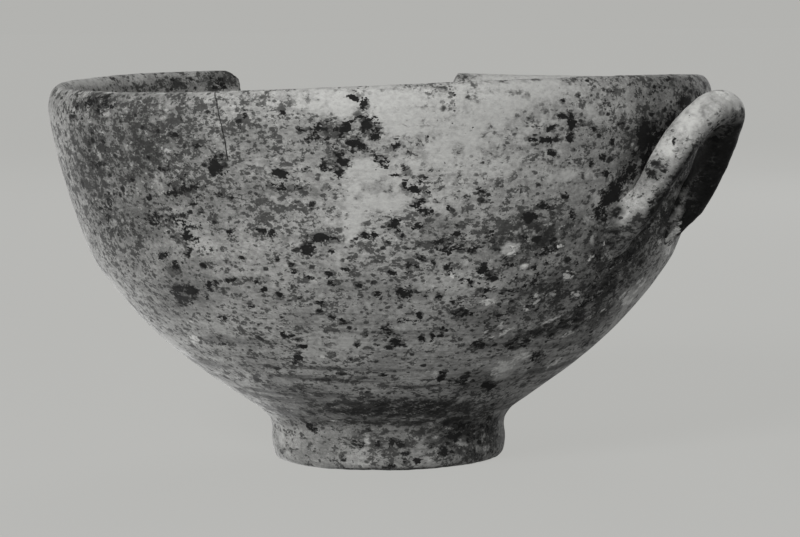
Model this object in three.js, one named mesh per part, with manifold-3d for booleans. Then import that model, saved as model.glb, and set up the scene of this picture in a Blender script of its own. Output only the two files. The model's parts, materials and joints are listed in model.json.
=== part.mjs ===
// Handled bowl: a wheel-thrown pottery bowl on a ring foot, with one upswept loop handle
// and a piece broken out of its rim. Millimetres, +Z up, +X towards the handle.
// The bowl stands on Z = 0, and the origin is below the middle of its bounding box.

import * as THREE from 'three';
import { mergeVertices } from 'three/addons/utils/BufferGeometryUtils.js';
import Module from 'manifold-3d';

const degrees = THREE.MathUtils.degToRad;

// Bowl wall: heights are above the table, angles are above the horizontal
const RIM_RADIUS = 81;
const BOWL_HEIGHT = 93;
const WALL_THICKNESS = 5.6;
const LIP_ROUND_HEIGHT = 5.5;
const BELLY_RADIUS = 70;
const BELLY_HEIGHT = 48;
const BELLY_ANGLE = degrees(55);
const FOOT_WALL_ANGLE = degrees(34.5);
const UNDERSIDE_DROP = 4;

// How far the wall's curves follow their end directions, as a share of the distance between the ends
const LOWER_WALL_PULL = 0.39;
const UPPER_WALL_PULL = 0.18;

// Ring foot and the coil of clay in the angle above it
const FOOT_RADIUS = 29;
const FOOT_HEIGHT = 11;
const FOOT_RING_WIDTH = 7.5;
const FOOT_EDGE_ROUND = 1.8;
const FOOT_SHOULDER_DROP = 3.6;
const FOOT_SHOULDER_WIDTH = 3.4;
const FOOT_COIL_SPREAD = 1.9;
const FOOT_COIL_EDGE = 0.35;
const FOOT_COIL_HOLLOW = 0.75;

// Loop handle, a roll of clay, and the pads of clay pressed round its two roots
const HANDLE_ROLL_RADIUS = 4.2;
const HANDLE_SPAN = 27;
const HANDLE_RISE = 25;
const HANDLE_TIP_DROP = 6.6;
const HANDLE_SQUARENESS = 2.5;
const FINGER_GAP = 6.6;
const ROOT_DEPTH = 7;
const ROOT_DROP = 3;
const PAD_MARGIN = 2.8;
const PAD_THICKNESS = 3.6;
const PAD_HALF_LENGTH = 9.5;
const PAD_RISE = 2;

// Piece broken out of the rim: its outline runs round the gap, as shares of half the width and of the depth
const BREAK_WIDTH = 60;
const BREAK_DEPTH = 24;
const BREAK_AZIMUTH = degrees(129.5);
const BREAK_OUTLINE = [
  [0.99, 0], [0.9, 0.27], [0.76, 0.6], [0.5, 0.86], [0.16, 1],
  [-0.26, 0.84], [-0.56, 0.62], [-0.84, 0.46], [-0.95, 0.12], [-0.97, 0],
];

// Warp from drying and firing: the rim sags into a saddle, and the mouth leans off the foot's centre
const SADDLE_RISE = 1.25;
const SADDLE_REACH = 22;
const SADDLE_AZIMUTH = degrees(-18.6);
const LEAN_OFFSET = 1;
const LEAN_AZIMUTH = degrees(212);

// Space between pieces that touch, and how far a cutting body runs past what it cuts
const JOINT_GAP = 0.3;
const CUT_MARGIN = 12;

// Smoothness
const TURN_STEPS = 60;
const UNDERSIDE_STEPS = 4;
const LOWER_WALL_STEPS = 7;
const UPPER_WALL_STEPS = 5;
const LIP_STEPS = 6;
const EDGE_STEPS = 3;
const ROLL_SIDES = 14;
const ROLL_STEPS = 44;
const ROLL_PATH_POINTS = 16;
const PAD_STEPS = 20;

// Vertices nearer than this are one vertex
const MERGE_DISTANCE = 1e-4;

const UP = new THREE.Vector3(0, 0, 1);

const wasm = await Module();
wasm.setup();

// Turns a closed geometry into a solid that can be cut
function toSolid(geometry) {
  const bare = geometry.clone();
  bare.deleteAttribute('normal');
  bare.deleteAttribute('uv');
  const merged = mergeVertices(bare, MERGE_DISTANCE);
  const triangles = [];
  for (let i = 0; i < merged.index.count; i += 3) {
    const [a, b, c] = [0, 1, 2].map((corner) => merged.index.getX(i + corner));
    if (a !== b && b !== c && c !== a) {
      triangles.push(a, b, c);
    }
  }
  return new wasm.Manifold(new wasm.Mesh({
    numProp: 3,
    vertProperties: new Float32Array(merged.attributes.position.array),
    triVerts: new Uint32Array(triangles),
  }));
}

// Turns a solid back into a geometry
function toGeometry(solid) {
  const mesh = solid.getMesh();
  const geometry = new THREE.BufferGeometry();
  geometry.setAttribute('position', new THREE.BufferAttribute(mesh.vertProperties, 3));
  geometry.setIndex(new THREE.BufferAttribute(mesh.triVerts, 1));
  geometry.computeVertexNormals();
  return geometry;
}

// Turns a profile of (radius, height) points round the Z axis
function turned(profile) {
  return new THREE.LatheGeometry(profile, TURN_STEPS).rotateX(Math.PI / 2);
}

// Moves each point of an upward profile outwards along its normal, and keeps the first one on the axis
function offsetProfile(points, distance) {
  return points.map((point, i) => {
    const before = points[Math.max(i - 1, 0)];
    const after = points[Math.min(i + 1, points.length - 1)];
    const along = after.clone().sub(before).normalize();
    const moved = new THREE.Vector2(point.x + along.y * distance, point.y - along.x * distance);
    return i === 0 ? new THREE.Vector2(0, point.y - distance) : moved;
  });
}

// Finds the profile's point at a given radius (key 'x') or height (key 'y')
function profilePoint(points, key, value) {
  const i = points.findIndex((point, n) => n > 0 && point[key] >= value);
  const share = (value - points[i - 1][key]) / (points[i][key] - points[i - 1][key]);
  return points[i - 1].clone().lerp(points[i], share);
}

function direction(angle) {
  return new THREE.Vector2(Math.cos(angle), Math.sin(angle));
}

// A curve between two points that leaves and arrives along given angles
function wallCurve(start, startAngle, end, endAngle, pull) {
  const reach = pull * start.distanceTo(end);
  return new THREE.CubicBezierCurve(
    start,
    start.clone().addScaledVector(direction(startAngle), reach),
    end.clone().addScaledVector(direction(endAngle), -reach),
    end,
  );
}

// Outside of the bowl, from the axis below the floor up to where the lip starts to round over
const undersideHeight = FOOT_HEIGHT - UNDERSIDE_DROP;
const joint = new THREE.Vector2(FOOT_RADIUS, FOOT_HEIGHT);
const belly = new THREE.Vector2(BELLY_RADIUS, BELLY_HEIGHT);
const lipStart = new THREE.Vector2(RIM_RADIUS, BOWL_HEIGHT - LIP_ROUND_HEIGHT);
const underside = new THREE.QuadraticBezierCurve(
  new THREE.Vector2(0, undersideHeight),
  new THREE.Vector2(FOOT_RADIUS - UNDERSIDE_DROP / Math.tan(FOOT_WALL_ANGLE), undersideHeight),
  joint,
);
const lowerWall = wallCurve(joint, FOOT_WALL_ANGLE, belly, BELLY_ANGLE, LOWER_WALL_PULL);
const upperWall = wallCurve(belly, BELLY_ANGLE, lipStart, Math.PI / 2, UPPER_WALL_PULL);
const outside = [
  ...underside.getPoints(UNDERSIDE_STEPS),
  ...lowerWall.getPoints(LOWER_WALL_STEPS).slice(1),
  ...upperWall.getPoints(UPPER_WALL_STEPS).slice(1),
];
const clearOutside = offsetProfile(outside, JOINT_GAP);

// Everything inside the bowl's outer face, with the joint gap added: it cuts what is stuck on the bowl
function bowlBlank() {
  const top = BOWL_HEIGHT + CUT_MARGIN;
  const mouth = clearOutside[clearOutside.length - 1];
  return toSolid(turned([
    ...clearOutside,
    new THREE.Vector2(mouth.x, top),
    new THREE.Vector2(0, top),
  ]));
}

// Lifts and lowers the rim into its saddle
function saddleRim(geometry) {
  const position = geometry.attributes.position;
  for (let i = 0; i < position.count; i += 1) {
    const turn = Math.atan2(position.getY(i), position.getX(i));
    const lift = SADDLE_RISE * Math.cos(2 * (turn - SADDLE_AZIMUTH));
    const share = THREE.MathUtils.smoothstep(position.getZ(i), BOWL_HEIGHT - SADDLE_REACH, BOWL_HEIGHT);
    position.setZ(i, position.getZ(i) + lift * share);
  }
  return geometry;
}

// The broken-out piece as a prism that runs outwards from the axis through the rim
function rimBreak() {
  const top = BOWL_HEIGHT + CUT_MARGIN;
  const edge = BREAK_OUTLINE.map(([side, down]) => (
    new THREE.Vector2(side * BREAK_WIDTH / 2, BOWL_HEIGHT - down * BREAK_DEPTH)
  ));
  const outline = new THREE.Shape([
    new THREE.Vector2(edge[edge.length - 1].x, top),
    new THREE.Vector2(edge[0].x, top),
    ...edge,
  ]);
  const prism = new THREE.ExtrudeGeometry(outline, { depth: RIM_RADIUS + CUT_MARGIN, bevelEnabled: false });
  const outwards = new THREE.Vector3(Math.cos(BREAK_AZIMUTH), Math.sin(BREAK_AZIMUTH), 0);
  const round = new THREE.Vector3().crossVectors(UP, outwards);
  return toSolid(prism.applyMatrix4(new THREE.Matrix4().makeBasis(round, UP, outwards)));
}

function bowlWall() {
  const inside = offsetProfile(outside, -WALL_THICKNESS).reverse();
  const lip = new THREE.EllipseCurve(
    RIM_RADIUS - WALL_THICKNESS / 2, lipStart.y, WALL_THICKNESS / 2, LIP_ROUND_HEIGHT, 0, Math.PI,
  );
  const profile = [...outside, ...lip.getPoints(LIP_STEPS).slice(1, -1), ...inside];
  return toGeometry(toSolid(saddleRim(turned(profile))).subtract(rimBreak()));
}

// The ring foot's seat follows the underside from its inner edge to its shoulder
const footInnerRadius = FOOT_RADIUS - FOOT_RING_WIDTH;
const shoulderRadius = FOOT_RADIUS - FOOT_SHOULDER_WIDTH;
const shoulder = new THREE.Vector2(FOOT_RADIUS, FOOT_HEIGHT - FOOT_SHOULDER_DROP);
const shoulderTop = profilePoint(clearOutside, 'x', shoulderRadius);

function footRing() {
  const seatInner = profilePoint(clearOutside, 'x', footInnerRadius);
  const seat = clearOutside.filter((point) => point.x > footInnerRadius && point.x < shoulderRadius);
  const edge = new THREE.EllipseCurve(
    FOOT_RADIUS - FOOT_EDGE_ROUND, FOOT_EDGE_ROUND, FOOT_EDGE_ROUND, FOOT_EDGE_ROUND, -Math.PI / 2, 0,
  );
  const start = new THREE.Vector2(footInnerRadius, 0);
  return turned([
    start,
    ...edge.getPoints(EDGE_STEPS),
    shoulder,
    shoulderTop,
    ...seat.reverse(),
    seatInner,
    start,
  ]);
}

// Coil of clay in the angle between the foot's shoulder and the wall, with a hollow outer face
function footCoil() {
  const slope = shoulder.clone().sub(shoulderTop).normalize();
  const lift = new THREE.Vector2(-slope.y, slope.x).multiplyScalar(JOINT_GAP);
  const low = shoulder.clone().add(lift);
  const spreadRadius = FOOT_RADIUS + FOOT_COIL_SPREAD;
  const high = profilePoint(clearOutside, 'x', spreadRadius);
  const wallSide = clearOutside.filter((point) => point.x > shoulderRadius && point.x < spreadRadius);
  const apex = shoulderTop.clone().add(lift);
  const highEdge = high.clone().addScaledVector(direction(FOOT_WALL_ANGLE - Math.PI / 2), FOOT_COIL_EDGE);
  const middle = low.clone().add(highEdge).multiplyScalar(1 / 2);
  const hollow = new THREE.QuadraticBezierCurve(
    low, middle.lerp(new THREE.Vector2(low.x, highEdge.y), FOOT_COIL_HOLLOW), highEdge,
  );
  const profile = [apex, ...hollow.getPoints(EDGE_STEPS), high, ...wallSide.reverse(), apex];
  return turned(profile);
}

// Handle's centre line: a rounded loop from root to root, whose ends bend into the wall
const tipHeight = BOWL_HEIGHT - HANDLE_TIP_DROP;
const tipReach = RIM_RADIUS + FINGER_GAP + HANDLE_ROLL_RADIUS;
const rootHeight = tipHeight - HANDLE_RISE;
const rootWall = profilePoint(outside, 'y', rootHeight).x;
const rootReach = Math.sqrt(rootWall ** 2 - (HANDLE_SPAN / 2) ** 2);
const rootAzimuth = Math.asin(HANDLE_SPAN / 2 / rootWall);

function handlePath() {
  const points = [];
  for (let i = 0; i <= ROLL_PATH_POINTS; i += 1) {
    const turn = (i / ROLL_PATH_POINTS - 1 / 2) * Math.PI;
    const out = Math.abs(Math.cos(turn)) ** (2 / HANDLE_SQUARENESS);
    const side = Math.sign(turn) * Math.abs(Math.sin(turn)) ** (2 / HANDLE_SQUARENESS);
    points.push(new THREE.Vector3(
      THREE.MathUtils.lerp(rootReach, tipReach, out),
      side * HANDLE_SPAN / 2,
      THREE.MathUtils.lerp(rootHeight, tipHeight, out),
    ));
  }
  const inwards = new THREE.Vector3(-ROOT_DEPTH, 0, -ROOT_DROP);
  const first = points[0].clone().add(inwards);
  const last = points[points.length - 1].clone().add(inwards);
  return new THREE.CatmullRomCurve3([first, ...points, last]);
}

function handleBar(radius) {
  const section = [];
  for (let i = 0; i < ROLL_SIDES; i += 1) {
    section.push(direction(2 * Math.PI * i / ROLL_SIDES).multiplyScalar(radius));
  }
  return toSolid(new THREE.ExtrudeGeometry(new THREE.Shape(section), {
    steps: ROLL_STEPS,
    extrudePath: handlePath(),
  }));
}

function handleRoll() {
  return toGeometry(handleBar(HANDLE_ROLL_RADIUS).subtract(bowlBlank()));
}

// Pad of clay smeared round one root, lying along the wall; side is -1 or 1
function handlePad(side) {
  const height = rootHeight + PAD_RISE;
  const below = profilePoint(outside, 'y', height - PAD_HALF_LENGTH);
  const above = profilePoint(outside, 'y', height + PAD_HALF_LENGTH);
  const wallTilt = Math.atan2(above.x - below.x, above.y - below.y);
  const reach = profilePoint(outside, 'y', height).x;
  const pad = new THREE.SphereGeometry(1, PAD_STEPS, PAD_STEPS)
    .scale(PAD_THICKNESS, HANDLE_ROLL_RADIUS + PAD_MARGIN, PAD_HALF_LENGTH)
    .rotateY(wallTilt)
    .translate(reach, 0, height)
    .rotateZ(side * rootAzimuth);
  const clearBar = handleBar(HANDLE_ROLL_RADIUS + JOINT_GAP);
  return toGeometry(toSolid(pad).subtract(bowlBlank()).subtract(clearBar));
}

function clay(color, roughness) {
  return new THREE.MeshStandardMaterial({ color, roughness, metalness: 0 });
}

function piece(name, geometry, material) {
  const mesh = new THREE.Mesh(geometry, material);
  mesh.name = name;
  return mesh;
}

const leaning = new THREE.Group();
leaning.matrixAutoUpdate = false;
const lean = direction(LEAN_AZIMUTH).multiplyScalar(LEAN_OFFSET / BOWL_HEIGHT);
leaning.matrix.makeShear(0, 0, 0, 0, lean.x, lean.y);
leaning.add(
  piece('bowl_wall', bowlWall(), clay(0x8f8f8c, 0.86)),
  piece('foot_ring', footRing(), clay(0x7d7d7a, 0.88)),
  piece('foot_coil', footCoil(), clay(0x5c5c5a, 0.9)),
  piece('handle_roll', handleRoll(), clay(0xb0b1ad, 0.82)),
  piece('handle_pad_near', handlePad(-1), clay(0x777774, 0.88)),
  piece('handle_pad_far', handlePad(1), clay(0x4a4a48, 0.9)),
);

const handledBowl = new THREE.Group();
handledBowl.name = 'handled_bowl';
handledBowl.add(leaning);
handledBowl.updateMatrixWorld(true);
const middle = new THREE.Box3().setFromObject(handledBowl, true).getCenter(new THREE.Vector3());
handledBowl.position.set(-middle.x, -middle.y, 0);

export default handledBowl;
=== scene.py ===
"""Looks of an old handled pottery bowl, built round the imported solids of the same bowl.

Everything is in metres: +Z is up, +X runs through the handle, and the bowl stands on Z = 0.
"""

import json
import logging
import math
from collections import Counter
from dataclasses import dataclass
from enum import Enum
from typing import Any, Callable, Sequence

import bpy
import numpy as np
from mathutils import Matrix, Vector
from mathutils.geometry import interpolate_bezier

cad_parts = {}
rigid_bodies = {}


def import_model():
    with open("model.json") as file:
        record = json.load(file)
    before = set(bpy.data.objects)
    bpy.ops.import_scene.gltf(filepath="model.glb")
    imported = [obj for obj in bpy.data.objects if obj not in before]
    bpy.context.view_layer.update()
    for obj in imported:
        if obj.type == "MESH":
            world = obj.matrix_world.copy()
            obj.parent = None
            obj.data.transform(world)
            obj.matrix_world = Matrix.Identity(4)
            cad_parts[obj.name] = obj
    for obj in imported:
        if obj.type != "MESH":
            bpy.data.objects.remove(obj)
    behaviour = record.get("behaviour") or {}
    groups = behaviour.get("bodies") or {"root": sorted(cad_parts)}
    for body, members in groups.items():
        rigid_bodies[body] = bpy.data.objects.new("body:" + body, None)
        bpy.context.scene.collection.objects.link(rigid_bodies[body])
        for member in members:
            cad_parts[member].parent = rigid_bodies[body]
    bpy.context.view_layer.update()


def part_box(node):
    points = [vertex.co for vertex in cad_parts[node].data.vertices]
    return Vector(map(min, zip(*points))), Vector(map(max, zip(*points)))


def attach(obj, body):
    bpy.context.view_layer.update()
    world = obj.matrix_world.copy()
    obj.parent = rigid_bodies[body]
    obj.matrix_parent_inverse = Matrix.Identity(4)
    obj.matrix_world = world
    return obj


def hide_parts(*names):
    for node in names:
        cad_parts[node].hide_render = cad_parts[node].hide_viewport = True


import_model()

LOG = logging.getLogger("handled_bowl")
BODY = "root"

PHOTO_WIDTH = 800
PHOTO_HEIGHT = 537

MERGE_DISTANCE = 1e-6
START_SIZE = 0.01
FULL_TURN = 2 * math.pi
BOW_PEAK = 27 / 256
UP = Vector((0, 0, 1))

DISPLAY_OFFSET = 0.055
DISPLAY_POWER = 2.4
BLUE_SHARE = 0.965

Socket = bpy.types.NodeSocket


class Paint(str, Enum):
    """Vertex attributes that the clay finishes read. The soot layer also holds painted shade, the lime layer
    painted light and the pale chips painted highlights.
    """

    SHOWN = "shown"
    DARK = "dark_stain"
    PALE_AND_HIGHLIGHT = "pale_chip_and_highlight"
    SOOT_AND_SHADE = "soot_and_shade"
    LIME_AND_LIGHT = "lime_and_light"


class Slot(str, Enum):
    """Material slots of the record."""

    BOWL = "bowl_clay"
    FOOT = "foot_clay"
    HANDLE = "handle_clay"


def grey(level: float) -> tuple[float, float, float, float]:
    """Turns a display grey into a linear colour.

    Args:
        level: Grey from 0 to 255, as a display shows it.

    Returns:
        Linear red, green, blue and alpha, with a trace less blue.
    """
    linear = ((level / 255 + DISPLAY_OFFSET) / (1 + DISPLAY_OFFSET)) ** DISPLAY_POWER
    return (linear, linear, linear * BLUE_SHARE, 1.0)


def smooth_step(values: np.ndarray, low: float, high: float) -> np.ndarray:
    """Rises smoothly from 0 at low to 1 at high.

    Args:
        values: Numbers to map.
        low: Value where the result is 0.
        high: Value where the result is 1.

    Returns:
        Mapped numbers.
    """
    share = np.clip((values - low) / (high - low), 0.0, 1.0)
    return share * share * (3 - 2 * share)


def vector_array(elements: bpy.types.bpy_prop_collection, key: str) -> np.ndarray:
    """Reads a vector of every vertex or face.

    Args:
        elements: Vertices or faces of a mesh.
        key: Name of the vector, such as co, center or normal.

    Returns:
        Array with one row of three numbers for each element.
    """
    values = np.empty(len(elements) * 3, np.float32)
    elements.foreach_get(key, values)
    return values.reshape(-1, 3).astype(float)


def vertex_places(piece: bpy.types.Object) -> np.ndarray:
    """Reads the place of every vertex of a mesh."""
    return vector_array(piece.data.vertices, "co")


def outward_reach(points: np.ndarray, normals: np.ndarray, axis: Vector) -> np.ndarray:
    """Says how far surfaces face away from the bowl's axis.

    Args:
        points: Places on the surface.
        normals: Unit normals there.
        axis: Place of the upright axis on the floor.

    Returns:
        Level part of each normal times the way from the axis, above 0 on the outside.
    """
    return np.sum((points - np.array(axis))[:, :2] * normals[:, :2], axis=1)


def set_vertices(piece: bpy.types.Object, places: np.ndarray) -> None:
    """Moves every vertex of a mesh.

    Args:
        piece: Mesh object.
        places: New places, one row for each vertex.
    """
    piece.data.vertices.foreach_set("co", places.astype(np.float32).ravel())
    piece.data.update()


def select_only(*pieces: bpy.types.Object) -> None:
    """Selects some objects alone and makes the first one active.

    Args:
        *pieces: Objects to select.
    """
    bpy.ops.object.select_all(action="DESELECT")
    for piece in pieces:
        piece.select_set(True)
    bpy.context.view_layer.objects.active = pieces[0]


def start_polyline(name: str, points: Sequence[Vector]) -> bpy.types.Object:
    """Draws an open line of edges by extruding one vertex, and stays in edit mode.

    Args:
        name: Name of the new object.
        points: Places that the line runs through.

    Returns:
        The new object, with its last vertex selected.
    """
    bpy.ops.object.select_all(action="DESELECT")
    bpy.ops.mesh.primitive_plane_add(size=START_SIZE)
    piece = bpy.context.object
    piece.name = name
    bpy.ops.object.mode_set(mode="EDIT")
    bpy.ops.mesh.select_mode(type="VERT")
    bpy.ops.mesh.select_all(action="SELECT")
    bpy.ops.mesh.merge(type="CENTER")
    bpy.ops.transform.translate(value=points[0])
    for before, after in zip(points, points[1:]):
        bpy.ops.mesh.extrude_region_move(TRANSFORM_OT_translate={"value": after - before})
    return piece


def spin_profile(name: str, profile: Sequence[Vector], axis: Vector, steps: int) -> bpy.types.Object:
    """Turns a profile once round an upright axis into a closed body.

    Args:
        name: Name of the new object.
        profile: Points with the radius in x and the height in z.
        axis: Place of the axis on the floor.
        steps: Faces round the turn.

    Returns:
        The turned body, with its faces outwards.
    """
    piece = start_polyline(name, [axis + point for point in profile])
    bpy.ops.mesh.select_all(action="SELECT")
    bpy.ops.mesh.spin(steps=steps, angle=FULL_TURN, center=axis, axis=UP, use_auto_merge=True)
    bpy.ops.mesh.select_all(action="SELECT")
    bpy.ops.mesh.remove_doubles(threshold=MERGE_DISTANCE)
    bpy.ops.mesh.normals_make_consistent(inside=False)
    bpy.ops.object.mode_set(mode="OBJECT")
    return piece


def apply_modifier(piece: bpy.types.Object, kind: str, **settings: Any) -> None:
    """Adds a modifier to an object and applies it.

    Args:
        piece: Mesh object.
        kind: Modifier type.
        **settings: Values of the modifier's own fields.
    """
    select_only(piece)
    modifier = piece.modifiers.new(kind.title(), kind)
    for key, value in settings.items():
        setattr(modifier, key, value)
    bpy.ops.object.modifier_apply(modifier=modifier.name)


def smooth_shape(piece: bpy.types.Object, levels: int) -> None:
    """Subdivides an object into a smooth surface."""
    apply_modifier(piece, "SUBSURF", levels=levels, render_levels=levels)


@dataclass(frozen=True)
class Lumps:
    """Slight unevenness: the size of the bumps, their full height and how many octaves of finer ones."""

    scale: float
    height: float
    depth: int = 2

    def apply(self, piece: bpy.types.Object) -> None:
        """Raises and sinks a surface along its normals.

        Args:
            piece: Mesh object.
        """
        texture = bpy.data.textures.new(f"{piece.name}_clouds", "CLOUDS")
        texture.noise_scale = self.scale
        texture.noise_depth = self.depth
        apply_modifier(piece, "DISPLACE", texture=texture, texture_coords="LOCAL", strength=self.height,
                       mid_level=0.5)


def finish_faces(piece: bpy.types.Object, angle: float) -> None:
    """Shades a piece smooth, apart from edges sharper than an angle."""
    select_only(piece)
    bpy.ops.object.shade_smooth_by_angle(angle=angle)


def select_faces(piece: bpy.types.Object, chosen: np.ndarray) -> None:
    """Selects some faces of a mesh alone.

    Args:
        piece: Mesh object.
        chosen: True for each face to select.
    """
    select_only(piece)
    bpy.ops.object.mode_set(mode="EDIT")
    bpy.ops.mesh.select_mode(type="FACE")
    bpy.ops.mesh.select_all(action="DESELECT")
    bpy.ops.object.mode_set(mode="OBJECT")
    piece.data.polygons.foreach_set("select", chosen)


def clean_cut(piece: bpy.types.Object) -> None:
    """Merges doubles and deletes pairs of faces on the same vertices, which a cut can leave as fins.

    Args:
        piece: Mesh object.
    """
    select_only(piece)
    bpy.ops.object.mode_set(mode="EDIT")
    bpy.ops.mesh.select_all(action="SELECT")
    bpy.ops.mesh.remove_doubles(threshold=MERGE_DISTANCE)
    bpy.ops.object.mode_set(mode="OBJECT")
    corners = [tuple(sorted(face.vertices)) for face in piece.data.polygons]
    times = Counter(corners)
    select_faces(piece, np.array([times[key] > 1 for key in corners]))
    bpy.ops.object.mode_set(mode="EDIT")
    bpy.ops.mesh.delete(type="FACE")
    bpy.ops.object.mode_set(mode="OBJECT")


def refine_faces(piece: bpy.types.Object, choose: Callable[[np.ndarray, np.ndarray], np.ndarray]) -> None:
    """Splits some faces into quarters, for finer marks and pits.

    Args:
        piece: Mesh object.
        choose: Picks faces by their centres and normals.
    """
    faces = piece.data.polygons
    select_faces(piece, choose(vector_array(faces, "center"), vector_array(faces, "normal")))
    bpy.ops.object.mode_set(mode="EDIT")
    bpy.ops.mesh.subdivide(number_cuts=1, smoothness=1.0)
    bpy.ops.object.mode_set(mode="OBJECT")


@dataclass(frozen=True)
class PhotoCamera:
    """The photograph's camera, placed from the bowl's axis."""

    axis: Vector
    azimuth: float = math.radians(32)
    distance: float = 0.7282
    height: float = 0.10864
    pitch: float = math.radians(4.910)
    yaw: float = math.radians(0.263)
    roll: float = math.radians(0.704)
    focal_pixels: float = 2965.5
    sensor: float = 36.0
    clip_start: float = 0.01
    clip_end: float = 50.0

    def turn(self) -> Matrix:
        """Gives the turn from the photograph's right, away and up to the part's axes."""
        return Matrix.Rotation(self.azimuth, 3, "Z")

    def place(self) -> Vector:
        """Gives the camera's place."""
        return self.axis + self.turn() @ Vector((0, -self.distance, self.height))

    def directions(self) -> tuple[Vector, Vector, Vector]:
        """Works out the camera's own axes.

        Returns:
            Unit vectors to the right, down and forward in the picture.
        """
        level = math.cos(self.pitch)
        forward = Vector((math.sin(self.yaw) * level, math.cos(self.yaw) * level, -math.sin(self.pitch)))
        right = Vector((math.cos(self.yaw), -math.sin(self.yaw), 0))
        down = forward.cross(right)
        rolled_right = right * math.cos(self.roll) + down * math.sin(self.roll)
        rolled_down = down * math.cos(self.roll) - right * math.sin(self.roll)
        turn = self.turn()
        return turn @ rolled_right, turn @ rolled_down, turn @ forward

    def project(self, points: np.ndarray) -> np.ndarray:
        """Finds where points appear in the photograph.

        Args:
            points: Places, one row each.

        Returns:
            Pixel columns and rows in the photograph's frame.
        """
        seen = (points - np.array(self.place())) @ np.array(self.directions()).T
        middle = np.array((PHOTO_WIDTH / 2, PHOTO_HEIGHT / 2))
        return middle + self.focal_pixels * seen[:, :2] / seen[:, 2:3]

    def facing(self, points: np.ndarray, normals: np.ndarray) -> np.ndarray:
        """Says how squarely surfaces face the camera.

        Args:
            points: Places on the surface.
            normals: Unit normals there.

        Returns:
            Cosine of the angle between each normal and the way to the camera.
        """
        back = np.array(self.place()) - points
        back /= np.linalg.norm(back, axis=1, keepdims=True)
        return np.sum(back * normals, axis=1)

    def in_front(self, points: np.ndarray) -> np.ndarray:
        """Measures how far points lie on the camera's side of the bowl's axis.

        Args:
            points: Places, one row each.

        Returns:
            Level distance from the axis towards the camera.
        """
        towards = np.array(self.turn() @ Vector((0, -1, 0)))
        return (points - np.array(self.axis)) @ towards

    def pixel_ray(self, column: float, row: float) -> Vector:
        """Gives the direction from the camera through a pixel.

        Args:
            column: Photograph column.
            row: Photograph row.

        Returns:
            Unit vector.
        """
        right, down, forward = self.directions()
        across = (column - PHOTO_WIDTH / 2) / self.focal_pixels
        below = (row - PHOTO_HEIGHT / 2) / self.focal_pixels
        return (forward + right * across + down * below).normalized()

    def build(self) -> None:
        """Adds the camera to the scene, which uses it."""
        right, down, forward = self.directions()
        turn = Matrix((right, -down, -forward)).transposed()
        data = bpy.data.cameras.new("photo_camera")
        data.sensor_width = self.sensor
        data.lens = self.focal_pixels * self.sensor / PHOTO_WIDTH
        data.clip_start = self.clip_start
        data.clip_end = self.clip_end
        camera = bpy.data.objects.new("photo_camera", data)
        camera.matrix_world = Matrix.Translation(self.place()) @ turn.to_4x4()
        bpy.context.scene.collection.objects.link(camera)
        bpy.context.scene.camera = camera


@dataclass(frozen=True)
class Mark:
    """A mark on the clay, as an ellipse of photograph pixels."""

    column: float
    row: float
    half_width: float
    half_height: float
    turn: float = 0.0
    strength: float = 1.0

    def cover(self, pixels: np.ndarray, core: float, fade: float) -> np.ndarray:
        """Says how fully the mark covers each place.

        Args:
            pixels: Columns and rows, one row of the array each.
            core: Share of the ellipse up to which the mark is full.
            fade: Share of the ellipse at which it ends.

        Returns:
            Cover from 0 to the mark's strength.
        """
        angle = math.radians(self.turn)
        across, below = pixels[:, 0] - self.column, pixels[:, 1] - self.row
        along = across * math.cos(angle) + below * math.sin(angle)
        beside = below * math.cos(angle) - across * math.sin(angle)
        share = np.hypot(along / self.half_width, beside / self.half_height)
        return self.strength * (1 - smooth_step(share, core, fade))


# Shares of a mark's ellipse up to which it is full and at which it ends, by its kind
MARK_EDGES = {
    Paint.DARK: (0.35, 1.75), Paint.PALE_AND_HIGHLIGHT: (0.5, 1.2), Paint.SOOT_AND_SHADE: (0.1, 1.35), Paint.LIME_AND_LIGHT: (0.1, 1.4),
}


@dataclass(frozen=True)
class MarkSheet:
    """The marks on one side of a piece, by what they are: dark stains, pale chips and painted highlights,
    soot and painted shade, lime crust and painted light.
    """

    dark: tuple[Mark, ...] = ()
    pale: tuple[Mark, ...] = ()
    soot_and_shade: tuple[Mark, ...] = ()
    lime_and_light: tuple[Mark, ...] = ()

    def covers(self, pixels: np.ndarray) -> dict[Paint, np.ndarray]:
        """Joins the marks of each kind, where the strongest one counts.

        Args:
            pixels: Columns and rows, one row of the array each.

        Returns:
            Cover of each kind at each place.
        """
        marks = {Paint.DARK: self.dark, Paint.PALE_AND_HIGHLIGHT: self.pale, Paint.SOOT_AND_SHADE: self.soot_and_shade, Paint.LIME_AND_LIGHT: self.lime_and_light}
        found = {}
        for paint, edges in MARK_EDGES.items():
            cover = np.zeros(len(pixels))
            for mark in marks[paint]:
                cover = np.maximum(cover, mark.cover(pixels, *edges))
            found[paint] = cover
        return found


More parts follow.
